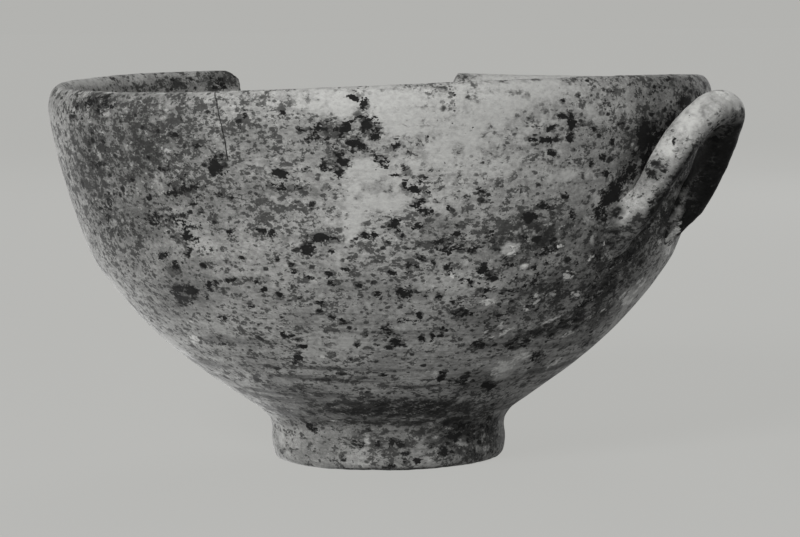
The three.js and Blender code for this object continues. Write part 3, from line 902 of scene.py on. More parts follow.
class ClayEffects:
    """Node groups that all the clay finishes share."""

    DETAIL = 3.0
    SPOT_EDGE_SCALE = 2.4
    SPOT_EDGE_ROUGHNESS = 0.7
    NOISE_MIDDLE = 0.5
    SMALLEST_SPOT = 0.35
    SPOT_CORE = 0.6
    LINE_ROUGHNESS = 0.6
    GRAIN_ROUGHNESS = 0.75
    GRAIN_LOW = 0.36
    GRAIN_HIGH = 0.64

    def __init__(self) -> None:
        """Builds the groups once."""
        self.crumbs = self.build_crumbs()
        self.spots = self.build_spots()
        self.lines = self.build_lines()
        self.grain = self.build_grain()

    def build_crumbs(self) -> bpy.types.NodeTree:
        """Builds lacy clusters of crumbs that grow denser with their cover.

        Returns:
            The node group.
        """
        names = ("Scale", "Breakup", "Cover", "Bare", "Full", "Softness")
        board, entry, out = new_group("lacy_crumbs", names)
        given = entry.outputs
        value = board.noise(given["Vector"], given["Scale"], self.DETAIL, given["Breakup"])
        span = board.minus(given["Full"], given["Bare"])
        threshold = board.plus(given["Bare"], board.times(span, given["Cover"]))
        low = board.minus(threshold, given["Softness"])
        high = board.plus(threshold, given["Softness"])
        board.tree.links.new(board.step(value, low, high), out.inputs["Mask"])
        return board.tree

    def build_spots(self) -> bpy.types.NodeTree:
        """Builds scattered round spots of uneven size with ragged edges.

        Returns:
            The node group.
        """
        board, entry, out = new_group("mineral_spots", ("Scale", "Share", "Size", "Raggedness"))
        given = entry.outputs
        cells = board.add("ShaderNodeTexVoronoi", {"Vector": given["Vector"], "Scale": given["Scale"]})
        chance = board.add("ShaderNodeSeparateColor", {"Color": cells.outputs["Color"]}).outputs
        fine = board.times(given["Scale"], self.SPOT_EDGE_SCALE)
        edge = board.noise(given["Vector"], fine, self.DETAIL, self.SPOT_EDGE_ROUGHNESS)
        ragged = board.times(board.minus(edge, self.NOISE_MIDDLE), given["Raggedness"])
        distance = board.plus(cells.outputs["Distance"], ragged)
        size = board.times(given["Size"], board.plus(chance["Green"], self.SMALLEST_SPOT))
        inside = board.step(board.math("DIVIDE", distance, size), 1.0, self.SPOT_CORE)
        chosen = board.math("LESS_THAN", chance["Red"], given["Share"])
        board.tree.links.new(board.times(inside, chosen), out.inputs["Mask"])
        return board.tree

    def build_lines(self) -> bpy.types.NodeTree:
        """Builds level lines round the bowl, as a wheel and a wiping hand leave them.

        Returns:
            The node group.
        """
        board, entry, out = new_group("wheel_lines", ("Scale", "Length"))
        place = board.level(entry.outputs["Vector"], entry.outputs["Length"])
        value = board.noise(place, entry.outputs["Scale"], self.DETAIL, self.LINE_ROUGHNESS)
        board.tree.links.new(value, out.inputs["Mask"])
        return board.tree

    def build_grain(self) -> bpy.types.NodeTree:
        """Builds the fine grain that makes every tone of the clay a little lighter or darker.

        Returns:
            The node group.
        """
        board, entry, out = new_group("clay_grain", ("Scale", "Darkest", "Lightest"))
        given = entry.outputs
        value = board.noise(given["Vector"], given["Scale"], self.DETAIL, self.GRAIN_ROUGHNESS)
        tone = board.add("ShaderNodeMapRange", {
            "Value": value, "From Min": self.GRAIN_LOW, "From Max": self.GRAIN_HIGH,
            "To Min": given["Darkest"], "To Max": given["Lightest"]})
        board.tree.links.new(tone.outputs["Result"], out.inputs["Mask"])
        return board.tree


@dataclass(frozen=True)
class Bench:
    """What the layers of one clay material share while it is made."""

    board: NodeBoard
    effects: ClayEffects
    place: Socket


@dataclass(frozen=True)
class Clouds:
    """A cloudy pattern, by its noise and the noise values where it is bare and full."""

    scale: float
    bare: float
    full: float
    detail: float = 4.0
    rough: float = 0.6

    def mask(self, bench: Bench) -> Socket:
        """Gives the pattern's cover from 0 to 1."""
        value = bench.board.noise(bench.place, self.scale, self.detail, self.rough)
        return bench.board.step(value, self.bare, self.full)


@dataclass(frozen=True)
class Crumbs:
    """Lacy crumbs, by their noise and the values that it passes where the cover is 0 and 1."""

    scale: float
    breakup: float
    bare: float
    full: float
    softness: float

    def mask(self, bench: Bench, cover: Socket) -> Socket:
        """Gives the crumbs.

        Args:
            bench: Bench of the material.
            cover: How dense they lie, from 0 to 1.

        Returns:
            Mask of the crumbs.
        """
        return bench.board.group(bench.effects.crumbs, {
            "Vector": bench.place, "Scale": self.scale, "Breakup": self.breakup, "Cover": cover,
            "Bare": self.bare, "Full": self.full, "Softness": self.softness})


@dataclass(frozen=True)
class Spots:
    """Scattered spots, by the number in a metre, their size in a cell and how ragged they are."""

    scale: float
    size: float
    raggedness: float

    def mask(self, bench: Bench, share: Any) -> Socket:
        """Gives the spots.

        Args:
            bench: Bench of the material.
            share: Share of the cells that hold one.

        Returns:
            Mask of the spots.
        """
        return bench.board.group(bench.effects.spots, {
            "Vector": bench.place, "Scale": self.scale, "Share": share, "Size": self.size,
            "Raggedness": self.raggedness})


@dataclass(frozen=True)
class ClayFinish:
    """One stretch of old unglazed clay, by its greys and how its dirt, painted shade and painted light lie.

    A swing is the slope and the base by which a pattern changes another value.
    """

    name: str
    # Greys; the soot, lime and chip greys also colour painted shade, painted light and painted highlights
    ground: float = 116
    ground_pale: float = 159
    lime_and_light: float = 162
    chip_and_highlight: float = 198
    soot_and_shade_grey: float = 50
    pepper: float = 38
    dusky: float = 52
    black: float = 22
    # How strong each layer is
    pepper_cover: float = 0.60
    spot_share: float = 0.26
    speck_strength: float = 0.66
    line_strength: float = 0.75
    lime_strength: float = 0.88
    dusk_strength: float = 0.7
    chip_strength: float = 0.85
    # Layers on the sides that the photograph doesn't show
    soot_patches: Clouds = Clouds(19.0, 0.47, 0.72)
    lime_patches: Clouds = Clouds(13.0, 0.54, 0.70)
    stain_patches: Clouds = Clouds(58.0, 0.58, 0.70)
    # Bare clay, soot and painted shade, crust and painted light
    broad_ground: Clouds = Clouds(95.0, 0.34, 0.64, 5.0, 0.66)
    fine_ground: Clouds = Clouds(620.0, 0.30, 0.68, rough=0.65)
    broad_ground_share: float = 0.6
    fine_ground_share: float = 0.4
    patchy_dirt: Clouds = Clouds(240.0, 0.25, 0.62, rough=0.65)
    soot_and_shade_swing: tuple[float, float] = (0.4, 0.55)
    crust_and_light: Crumbs = Crumbs(140.0, 0.72, 0.68, 0.36, 0.11)
    specks: Crumbs = Crumbs(560.0, 0.8, 0.70, 0.565, 0.035)
    chips_and_highlights: Crumbs = Crumbs(420.0, 0.7, 0.80, 0.34, 0.05)
    # Wheel lines, from the height where they are weakest down to where they are full
    line_scale: float = 520.0
    line_length: float = 16.0
    line_top: float = 0.050
    line_bottom: float = 0.018
    line_swing: tuple[float, float] = (0.75, 0.25)
    dark_line: tuple[float, float] = (0.50, 0.66)
    pale_line: tuple[float, float] = (0.48, 0.34)
    # Fine and coarse dark grains
    soot_pepper: float = 0.5
    lime_pepper: float = 0.45
    broad_pepper: Clouds = Clouds(48.0, 0.36, 0.64, 3.0)
    broad_swing: tuple[float, float] = (0.6, 0.7)
    crowded_pepper: Clouds = Clouds(310.0, 0.40, 0.60, 3.0, 0.72)
    crowded_swing: tuple[float, float] = (0.8, 0.3)
    fine_grains: Spots = Spots(1050.0, 0.48, 0.9)
    fine_share: float = 0.85
    fine_strength: float = 0.82
    coarse_grains: Spots = Spots(560.0, 0.42, 1.1)
    coarse_share: float = 0.34
    coarse_strength: float = 0.95
    grain_holes: Clouds = Clouds(1500.0, 0.60, 0.42, 3.0, 0.7)
    lace: Crumbs = Crumbs(480.0, 0.85, 0.645, 0.515, 0.04)
    lace_strength: float = 0.8
    pepper_under_lime: float = 0.8
    # Dark stains and black spots
    dusk: Crumbs = Crumbs(330.0, 0.8, 0.72, 0.43, 0.06)
    stains: Crumbs = Crumbs(500.0, 0.88, 0.70, 0.455, 0.03)
    stain_grains: Spots = Spots(560.0, 0.42, 0.8)
    stain_share: float = 0.55
    stain_strength: float = 0.95
    lone_spots: Spots = Spots(330.0, 0.26, 0.5)
    small_spots: Spots = Spots(640.0, 0.30, 0.7)
    small_share: float = 0.5
    spot_strength: float = 0.9
    spots_under_lime: float = 0.85
    # Grain, roughness and relief
    grain_length: float = 1.5
    grain_scale: float = 1300.0
    grain_dark: float = 0.72
    grain_light: float = 1.22
    grain_under_lime: float = 0.6
    rough_low: float = 0.80
    rough_high: float = 0.96
    specular: float = 0.2
    bump_height: float = 0.0003
    bump_strength: float = 0.7
    relief_detail: float = 3.0
    grit_scale: float = 1300.0
    grit_roughness: float = 0.6
    grit_height: float = 0.35
    lump_scale: float = 210.0
    lump_roughness: float = 0.55
    line_height: float = 0.7
    lime_height: float = 0.2
    stain_depth: float = 0.35

    def build(self, effects: ClayEffects) -> bpy.types.Material:
        """Makes the material.

        Args:
            effects: Shared node groups.

        Returns:
            Material of this finish.
        """
        material = bpy.data.materials.new(self.name)
        material.use_nodes = True
        board = NodeBoard(material.node_tree)
        plain = Bench(board, effects, board.add("ShaderNodeTexCoord").outputs["Object"])
        hidden = board.minus(1.0, board.paint(Paint.SHOWN))
        # The soot layer also carries painted shade, the lime layer painted light and the pale chips painted
        # highlights.
        soot_and_shade = self.layer(plain, hidden, Paint.SOOT_AND_SHADE, self.soot_patches)
        lime_and_light = self.crust_and_light.mask(plain, self.layer(plain, hidden, Paint.LIME_AND_LIGHT, self.lime_patches))
        dark = self.layer(plain, hidden, Paint.DARK, self.stain_patches)
        lines = board.group(effects.lines, {
            "Vector": plain.place, "Scale": self.line_scale, "Length": self.line_length})
        bench = Bench(board, effects, board.level(plain.place, self.grain_length))
        patchy = self.patchy_dirt.mask(bench)
        colour = self.wheel_streaks(bench, lines, self.ground_colour(bench))
        colour = self.soot_and_shade_colour(bench, soot_and_shade, patchy, colour)
        colour = board.mix(board.times(lime_and_light, self.lime_strength), colour, grey(self.lime_and_light))
        colour = board.mix(self.pepper_mask(bench, soot_and_shade, lime_and_light), colour, grey(self.pepper))
        dusk = board.times(self.dusk.mask(bench, dark), self.dusk_strength)
        colour = board.mix(dusk, colour, grey(self.dusky))
        black = self.black_mask(bench, dark, lime_and_light)
        colour = board.mix(black, colour, grey(self.black))
        chips_and_highlights = board.times(self.chips_and_highlights.mask(bench, board.paint(Paint.PALE_AND_HIGHLIGHT)), self.chip_strength)
        colour = board.mix(chips_and_highlights, colour, grey(self.chip_and_highlight))
        grain = board.group(effects.grain, {
            "Vector": bench.place, "Scale": self.grain_scale, "Darkest": self.grain_dark,
            "Lightest": self.grain_light})
        grainy = board.minus(1.0, board.times(lime_and_light, self.grain_under_lime))
        colour = board.mix(grainy, colour, board.mix(1.0, colour, grain, "MULTIPLY"))
        rough = board.add("ShaderNodeMapRange", {
            "Value": patchy, "To Min": self.rough_low, "To Max": self.rough_high})
        bump = board.add("ShaderNodeBump", {
            "Height": self.relief(bench, lime_and_light, black, lines), "Strength": self.bump_strength,
            "Distance": self.bump_height})
        shader = board.add("ShaderNodeBsdfPrincipled", {
            "Base Color": colour, "Roughness": rough.outputs["Result"], "Normal": bump.outputs["Normal"],
            "Specular IOR Level": self.specular})
        board.add("ShaderNodeOutputMaterial", {"Surface": shader.outputs["BSDF"]})
        return material

    @staticmethod
    def layer(bench: Bench, hidden: Socket, paint: Paint, patches: Clouds) -> Socket:
        """Joins a painted layer with its like on the sides that the photograph doesn't show.

        Args:
            bench: Bench of the material.
            hidden: 1 where the photograph shows nothing.
            paint: Attribute of the layer.
            patches: Pattern of the layer on the other sides.

        Returns:
            Cover of the layer.
        """
        unseen = bench.board.times(patches.mask(bench), hidden)
        return bench.board.most(bench.board.paint(paint), unseen)

    def ground_colour(self, bench: Bench) -> Socket:
        """Makes the cloudy grey of the bare clay.

        Args:
            bench: Bench of the material.

        Returns:
            Colour of the clay.
        """
        board = bench.board
        broad = board.times(self.broad_ground.mask(bench), self.broad_ground_share)
        fine = board.times(self.fine_ground.mask(bench), self.fine_ground_share)
        return board.mix(board.plus(broad, fine), grey(self.ground), grey(self.ground_pale))

    def wheel_streaks(self, bench: Bench, lines: Socket, colour: Socket) -> Socket:
        """Streaks the clay along the wheel lines, more strongly towards the foot.

        Args:
            bench: Bench of the material.
            lines: Raw wheel lines.
            colour: Colour of the clay.

        Returns:
            Streaked colour.
        """
        board = bench.board
        height = board.add("ShaderNodeSeparateXYZ", {"Vector": bench.place}).outputs["Z"]
        low = board.ramp(board.step(height, self.line_top, self.line_bottom), *self.line_swing)
        share = board.times(low, self.line_strength)
        dark = board.times(board.step(lines, *self.dark_line), share)
        pale = board.times(board.step(lines, *self.pale_line), share)
        return board.mix(pale, board.mix(dark, colour, grey(self.soot_and_shade_grey)), grey(self.lime_and_light))

    def soot_and_shade_colour(self, bench: Bench, soot_and_shade: Socket, patchy: Socket, colour: Socket) -> Socket:
        """Darkens the clay with patchy soot and painted shade, through which pale specks show.

        Args:
            bench: Bench of the material.
            soot_and_shade: How much soot and painted shade each place has, above 1 where no specks show.
            patchy: Pattern of the soot and painted shade.
            colour: Colour of the clay.

        Returns:
            Colour with soot and painted shade.
        """
        board = bench.board
        soot_and_shade_share = board.times(soot_and_shade, board.ramp(patchy, *self.soot_and_shade_swing))
        colour = board.mix(soot_and_shade_share, colour, grey(self.soot_and_shade_grey))
        bare = board.minus(2.0, board.most(soot_and_shade, 1.0), clamp=True)
        specks = board.times(self.specks.mask(bench, soot_and_shade), board.times(bare, self.speck_strength))
        return board.mix(specks, colour, grey(self.ground_pale))

    def pepper_mask(self, bench: Bench, soot_and_shade: Socket, lime_and_light: Socket) -> Socket:
        """Makes the fine and coarse dark grains.

        Args:
            bench: Bench of the material.
            soot_and_shade: How much soot and painted shade each place has.
            lime_and_light: Mask of the pale crust and painted light.

        Returns:
            Mask of the grains.
        """
        board = bench.board
        cover = board.ramp(soot_and_shade, self.soot_pepper, self.pepper_cover)
        cover = board.minus(cover, board.times(lime_and_light, self.lime_pepper))
        cover = board.times(cover, board.ramp(self.broad_pepper.mask(bench), *self.broad_swing))
        share = board.times(cover, board.ramp(self.crowded_pepper.mask(bench), *self.crowded_swing))
        fine = self.fine_grains.mask(bench, board.times(share, self.fine_share))
        coarse = self.coarse_grains.mask(bench, board.times(share, self.coarse_share))
        coarse = board.times(coarse, self.grain_holes.mask(bench))
        lace = self.lace.mask(bench, cover)
        grains = board.most(board.times(fine, self.fine_strength), board.times(coarse, self.coarse_strength))
        grains = board.most(grains, board.times(lace, self.lace_strength))
        return board.times(grains, board.minus(1.0, board.times(lime_and_light, self.pepper_under_lime)))

    def black_mask(self, bench: Bench, dark: Socket, lime_and_light: Socket) -> Socket:
        """Makes the black stains and spots.

        Args:
            bench: Bench of the material.
            dark: Cover of the stains.
            lime_and_light: Mask of the pale crust and painted light, which hides most scattered spots.

        Returns:
            Mask of the black places.
        """
        board = bench.board
        grains = self.stain_grains.mask(bench, board.times(dark, self.stain_share))
        stains = board.most(self.stains.mask(bench, dark), board.times(grains, self.stain_strength))
        lone = self.lone_spots.mask(bench, self.spot_share)
        small = self.small_spots.mask(bench, self.spot_share * self.small_share)
        bare = board.minus(self.spot_strength, board.times(lime_and_light, self.spots_under_lime))
        return board.most(stains, board.times(board.most(lone, small), bare))

    def relief(self, bench: Bench, lime_and_light: Socket, black: Socket, lines: Socket) -> Socket:
        """Makes the surface's fine relief.

        Args:
            bench: Bench of the material.
            lime_and_light: Mask of the pale crust and painted light, which stands proud.
            black: Mask of the black places, which lie low.
            lines: Wheel lines.

        Returns:
            Height for a Bump node.
        """
        board = bench.board
        grit = board.noise(bench.place, self.grit_scale, self.relief_detail, self.grit_roughness)
        lumps = board.noise(bench.place, self.lump_scale, self.relief_detail, self.lump_roughness)
        relief = board.plus(board.times(grit, self.grit_height), lumps)
        relief = board.plus(relief, board.times(lines, self.line_height))
        relief = board.plus(relief, board.times(lime_and_light, self.lime_height))
        return board.minus(relief, board.times(black, self.stain_depth))


WALL_CLAY = ClayFinish("wall_clay")
FOOT_CLAY = ClayFinish("foot_clay", ground=110, ground_pale=146, soot_and_shade_grey=44, spot_share=0.14, pepper_cover=0.54,
                       line_strength=0.3)
# The handle's soot grey is near black, so that its soot marks paint the shade in the loop and under the arms;
# its lime grey is paler for the painted light on its top.
HANDLE_CLAY = ClayFinish("handle_clay", ground=122, ground_pale=156, lime_and_light=170, soot_and_shade_grey=14, pepper=24,
                         pepper_cover=0.36, spot_share=0.08, speck_strength=0.2, line_strength=0.1)
CORE_CLAY = ClayFinish("core_clay", ground=112, ground_pale=150, pepper_cover=0.40, spot_share=0.1,
                       line_strength=0.0, rough_low=0.9, bump_height=0.0006)


@dataclass(frozen=True)
class BowlShape:
    """Sizes of the thrown bowl that its pieces share, the same as in the solids."""

    axis: Vector
    rim_radius: float = 0.081
    height: float = 0.093
    wall: float = 0.0056
    lip_round: float = 0.0055
    belly_radius: float = 0.070
    belly_height: float = 0.048
    belly_angle: float = math.radians(55)
    foot_radius: float = 0.029
    foot_height: float = 0.011
    foot_wall_angle: float = math.radians(34.5)
    underside_drop: float = 0.004
    lower_pull: float = 0.39
    upper_pull: float = 0.18
    saddle_rise: float = 0.00125
    saddle_reach: float = 0.022
    saddle_azimuth: float = math.radians(-18.6)
    lean_offset: float = 0.001
    lean_azimuth: float = math.radians(212)
    bend_pull: float = 2 / 3
    fine_points: tuple[int, int, int] = (5, 40, 40)

    @staticmethod
    def heading(angle: float) -> Vector:
        """Gives a unit step in the profile's plane at an angle above the level."""
        return Vector((math.cos(angle), 0, math.sin(angle)))

    def curve(self, start: Vector, start_angle: float, end: Vector, end_angle: float, pull: float,
              count: int) -> list[Vector]:
        """Runs a smooth stretch of the profile.

        Args:
            start: First point.
            start_angle: Angle at which it leaves.
            end: Last point.
            end_angle: Angle at which it arrives.
            pull: Handle length as a share of the distance between the ends.
            count: Number of points, both ends included.

        Returns:
            Points of the stretch.
        """
        reach = pull * (end - start).length
        leave, arrive = self.heading(start_angle) * reach, self.heading(end_angle) * reach
        return interpolate_bezier(start, start + leave, end - arrive, end, count)

    def outside(self, underside: int, lower: int, upper: int) -> list[Vector]:
        """Draws the outer profile from the axis up to the lip.

        Args:
            underside: Points along the underside.
            lower: Points from the foot to the belly.
            upper: Points from the belly to the lip.

        Returns:
            Points with the radius in x and the height in z.
        """
        floor_height = self.foot_height - self.underside_drop
        middle = Vector((0, 0, floor_height))
        run = self.underside_drop / math.tan(self.foot_wall_angle)
        bend = Vector((self.foot_radius - run, 0, floor_height))
        joint = Vector((self.foot_radius, 0, self.foot_height))
        belly = Vector((self.belly_radius, 0, self.belly_height))
        lip = Vector((self.rim_radius, 0, self.height - self.lip_round))
        pulls = middle.lerp(bend, self.bend_pull), joint.lerp(bend, self.bend_pull)
        below = interpolate_bezier(middle, *pulls, joint, underside)
        rise = self.curve(joint, self.foot_wall_angle, belly, self.belly_angle, self.lower_pull, lower)
        top = self.curve(belly, self.belly_angle, lip, math.pi / 2, self.upper_pull, upper)
        return below + rise[1:] + top[1:]

    def radii_at(self, heights: np.ndarray | float) -> np.ndarray:
        """Gives the outer radii at heights above the foot."""
        points = self.outside(*self.fine_points)
        return np.interp(heights, [point.z for point in points], [point.x for point in points])

    def radius_at(self, height: float) -> float:
        """Gives the outer radius at one height."""
        return float(self.radii_at(height))

    def lean(self, points: np.ndarray) -> np.ndarray:
        """Leans points with the bowl.

        Args:
            points: Places in the upright bowl.

        Returns:
            Places in the leaning bowl.
        """
        share = points[:, 2:3] * self.lean_offset / self.height
        return points + share * np.array((math.cos(self.lean_azimuth), math.sin(self.lean_azimuth), 0.0))

    def sag(self, points: np.ndarray) -> np.ndarray:
        """Lifts and lowers the rim into its saddle.

        Args:
            points: Places in the upright bowl.

        Returns:
            Places with the rim warped.
        """
        turn = np.arctan2(points[:, 1] - self.axis.y, points[:, 0] - self.axis.x)
        lift = self.saddle_rise * np.cos(2 * (turn - self.saddle_azimuth))
        moved = points.copy()
        moved[:, 2] += lift * smooth_step(points[:, 2], self.height - self.saddle_reach, self.height)
        return moved


@dataclass
class BowlBody:
    """The thrown bowl: floor, wall and lip, with its broken rim and its crack."""

    shape: BowlShape
    camera: PhotoCamera
    clay: bpy.types.Material
    core: bpy.types.Material
    turn_steps: int = 98
    outer_points: tuple[int, int, int] = (5, 14, 11)
    inner_points: tuple[int, int, int] = (5, 9, 7)
    lip_points: int = 8
    smooth_levels: int = 1
    lumps: tuple[Lumps, ...] = (Lumps(0.030, 0.0005), Lumps(0.0045, 0.00020))
    sharp_angle: float = math.radians(45)
    least_facing: float = 0.02
    break_width: float = 0.060
    break_depth: float = 0.024
    break_azimuth: float = math.radians(129.5)
    break_outline: tuple[tuple[float, float], ...] = (
        (1.16, -0.09), (1.06, -0.01), (1.008, 0.05), (0.985, 0.12), (0.975, 0.2), (0.93, 0.34), (0.77, 0.62),
        (0.5, 0.86), (0.16, 1), (-0.26, 0.84), (-0.56, 0.62), (-0.84, 0.46), (-0.93, 0.2), (-0.955, 0.09),
        (-0.975, 0.03), (-0.99, -0.08),
    )
    break_inner: float = 0.055
    break_margin: float = 0.012
    break_reach: float = 0.006
    break_edge_steps: int = 9
    break_cuts: int = 5
    break_slices: int = 40
    break_lumps: tuple[Lumps, ...] = (Lumps(0.006, 0.0014, 3), Lumps(0.0015, 0.0005, 1))
    wear_factor: float = 0.5
    wear_rounds: int = 7
    crack_pixels: tuple[tuple[float, float], ...] = (
        (214.8, 84.0), (215.6, 92.0), (217.0, 101.0), (218.3, 109.5), (219.6, 117.0), (221.8, 125.0),
        (223.4, 134.0), (225.7, 143.0), (226.6, 152.0), (228.4, 161.0),
    )
    crack_width: float = 0.00036
    crack_depth: float = 0.0022
    crack_cuts: int = 2
    crack_jitter: float = 0.25
    crack_seed: int = 4

    def profile(self) -> list[Vector]:
        """Draws the closed profile, up the outside, over the lip and down the inside.

        Returns:
            Points with the radius in x and the height in z.
        """
        outside = self.shape.outside(*self.outer_points)
        inside = self.offset(self.shape.outside(*self.inner_points))
        half = self.shape.wall / 2
        lip = []
        for number in range(1, self.lip_points):
            angle = math.pi * number / self.lip_points
            lip.append(Vector((
                self.shape.rim_radius - half + half * math.cos(angle), 0,
                self.shape.height - self.shape.lip_round * (1 - math.sin(angle)))))
        return outside + lip + inside[::-1]

    def offset(self, points: list[Vector]) -> list[Vector]:
        """Moves a profile inwards by the wall's thickness.

        Args:
            points: Outer profile.

        Returns:
            Inner profile, starting on the axis.
        """
        moved = []
        for number, point in enumerate(points):
            along = (points[min(number + 1, len(points) - 1)] - points[max(number - 1, 0)]).normalized()
            moved.append(point + Vector((-along.z, 0, along.x)) * self.shape.wall)
        moved[0].x = 0
        return moved

    def build(self) -> bpy.types.Object:
        """Models the bowl.

        Returns:
            The finished mesh object.
        """
        body = spin_profile("bowl_body", self.profile(), self.shape.axis, self.turn_steps)
        body.data.materials.append(self.clay)
        smooth_shape(body, self.smooth_levels)
        for choose in (self.front_faces, self.front_faces, self.break_faces, self.break_faces):
            refine_faces(body, choose)
        for lumps in self.lumps:
            lumps.apply(body)
        set_vertices(body, self.shape.lean(self.shape.sag(vertex_places(body))))
        self.cut(body, self.rim_break())
        self.wear_break(body)
        self.cut(body, self.crack_blade(body))
        finish_faces(body, self.sharp_angle)
        return body

    def dress(self, body: bpy.types.Object, painter: MarkPainter) -> None:
        """Paints the marks on the bowl."""
        painter.paint(body, WALL_MARKS, FAR_WALL_MARKS)

    def front_faces(self, centres: np.ndarray, normals: np.ndarray) -> np.ndarray:
        """Picks the faces of the outer wall that the photograph shows.

        Args:
            centres: Middle of each face.
            normals: Normal of each face.

        Returns:
            True for the picked faces.
        """
        outwards = outward_reach(centres, normals, self.shape.axis) > 0
        shown = self.camera.facing(centres, normals) > self.least_facing
        return outwards & shown & (centres[:, 2] > self.shape.foot_height)

    def break_faces(self, centres: np.ndarray, normals: np.ndarray) -> np.ndarray:
        """Picks the faces close to the edge of the broken rim.

        Args:
            centres: Middle of each face.
            normals: Normal of each face, not used.

        Returns:
            True for the picked faces.
        """
        away = centres - np.array(self.shape.axis)
        out, side = np.array(self.break_way()), np.array(self.break_side())
        places = np.stack([away @ side, self.shape.height - away[:, 2]], axis=1)
        edge = self.break_edge()
        steps = np.linspace(0, 1, self.break_edge_steps)[:, None, None]
        dense = (edge[:-1] * (1 - steps) + edge[1:] * steps).reshape(-1, 2)
        gap = np.min(np.linalg.norm(places[:, None] - dense[None], axis=2), axis=1)
        return (gap < self.break_reach) & (away @ out > self.break_inner)

    def break_edge(self) -> np.ndarray:
        """Gives the edge of the broken rim, by the way along the rim and the depth below it."""
        return np.array(self.break_outline) * np.array((self.break_width / 2, self.break_depth))

    def break_way(self) -> Vector:
        """Gives the direction in which the rim is broken, seen from the axis."""
        return Vector((math.cos(self.break_azimuth), math.sin(self.break_azimuth), 0))

    def break_side(self) -> Vector:
        """Gives the direction along the broken rim."""
        return UP.cross(self.break_way())

    def rim_break(self) -> bpy.types.Object:
        """Models the piece that broke out of the rim, with rough sides.

        Returns:
            The cutting body, in place.
        """
        top = self.shape.height + self.break_margin
        edge = [Vector((side, self.shape.height - down, 0)) for side, down in self.break_edge()]
        corners = [Vector((edge[-1].x, top, 0)), Vector((edge[0].x, top, 0))]
        cutter = start_polyline("rim_break", edge + corners)
        bpy.ops.mesh.select_all(action="SELECT")
        bpy.ops.mesh.edge_face_add()
        bpy.ops.mesh.select_mode(type="EDGE")
        bpy.ops.mesh.select_all(action="SELECT")
        bpy.ops.mesh.subdivide(number_cuts=self.break_cuts)
        bpy.ops.mesh.select_all(action="SELECT")
        depth = self.shape.rim_radius + self.break_margin - self.break_inner
        slice_step = UP * (depth / self.break_slices)
        for _ in range(self.break_slices):
            bpy.ops.mesh.extrude_region_move(TRANSFORM_OT_translate={"value": slice_step})
        bpy.ops.mesh.select_all(action="SELECT")
        bpy.ops.mesh.normals_make_consistent(inside=False)
        bpy.ops.object.mode_set(mode="OBJECT")
        turn = Matrix((self.break_side(), UP, self.break_way())).transposed().to_4x4()
        cutter.matrix_world = Matrix.Translation(self.shape.axis + self.break_way() * self.break_inner) @ turn
        select_only(cutter)
        bpy.ops.object.transform_apply(location=True, rotation=True, scale=True)
        cutter.data.materials.append(self.core)
        for lumps in self.break_lumps:
            lumps.apply(cutter)
        return cutter

    def wear_break(self, body: bpy.types.Object) -> None:
        """Rounds the edges of the broken rim, which are old and worn.

        Args:
            body: Bowl with its rim cut.
        """
        broken = np.zeros(len(body.data.polygons), np.int32)
        body.data.polygons.foreach_get("material_index", broken)
        select_faces(body, broken > 0)
        bpy.ops.object.mode_set(mode="EDIT")
        bpy.ops.mesh.select_more()
        bpy.ops.mesh.vertices_smooth(factor=self.wear_factor, repeat=self.wear_rounds)
        bpy.ops.object.mode_set(mode="OBJECT")

    def crack_blade(self, body: bpy.types.Object) -> bpy.types.Object:
        """Models the thin blade that cuts the hairline crack.

        Args:
            body: Bowl that the crack runs on.

        Returns:
            The cutting body, in place.
        """
        spots = [self.on_wall(body, column, row) for column, row in self.crack_pixels]
        middle = sum(spots, Vector()) / len(spots)
        inwards = self.shape.axis - middle
        inwards.z = 0
        inwards.normalize()
        blade = start_polyline("crack_blade", [spot - inwards * self.crack_depth for spot in spots])
        bpy.ops.mesh.select_all(action="SELECT")
        bpy.ops.mesh.extrude_region_move(TRANSFORM_OT_translate={"value": inwards * 2 * self.crack_depth})
        bpy.ops.mesh.select_all(action="SELECT")
        bpy.ops.mesh.subdivide(number_cuts=self.crack_cuts, fractal=self.crack_jitter, seed=self.crack_seed)
        bpy.ops.object.mode_set(mode="OBJECT")
        blade.data.materials.append(self.core)
        apply_modifier(blade, "SOLIDIFY", thickness=self.crack_width, offset=0.0)
        return blade

    def on_wall(self, body: bpy.types.Object, column: float, row: float) -> Vector:
        """Finds the place on the near wall behind a pixel, or straight above it over the rim.

        Args:
            body: Bowl.
            column: Photograph column.
            row: Photograph row.

        Returns:
            Place on the near wall's outer face.
        """
        start, ray = self.camera.place(), self.camera.pixel_ray(column, row)
        found, place, _, _ = body.ray_cast(start, ray)
        if found and (place - start).length < (self.shape.axis - start).length:
            return place
        return start + ray * ((self.shape.axis - start).length - self.shape.rim_radius)

    @staticmethod
    def cut(body: bpy.types.Object, cutter: bpy.types.Object) -> None:
        """Cuts a body with another and removes that one.

        Args:
            body: Mesh to cut.
            cutter: Mesh to take away, whose material shows on the cut.
        """
        apply_modifier(body, "BOOLEAN", object=cutter, operation="DIFFERENCE", solver="EXACT",
                       material_mode="TRANSFER")
        bpy.data.objects.remove(cutter)
        clean_cut(body)


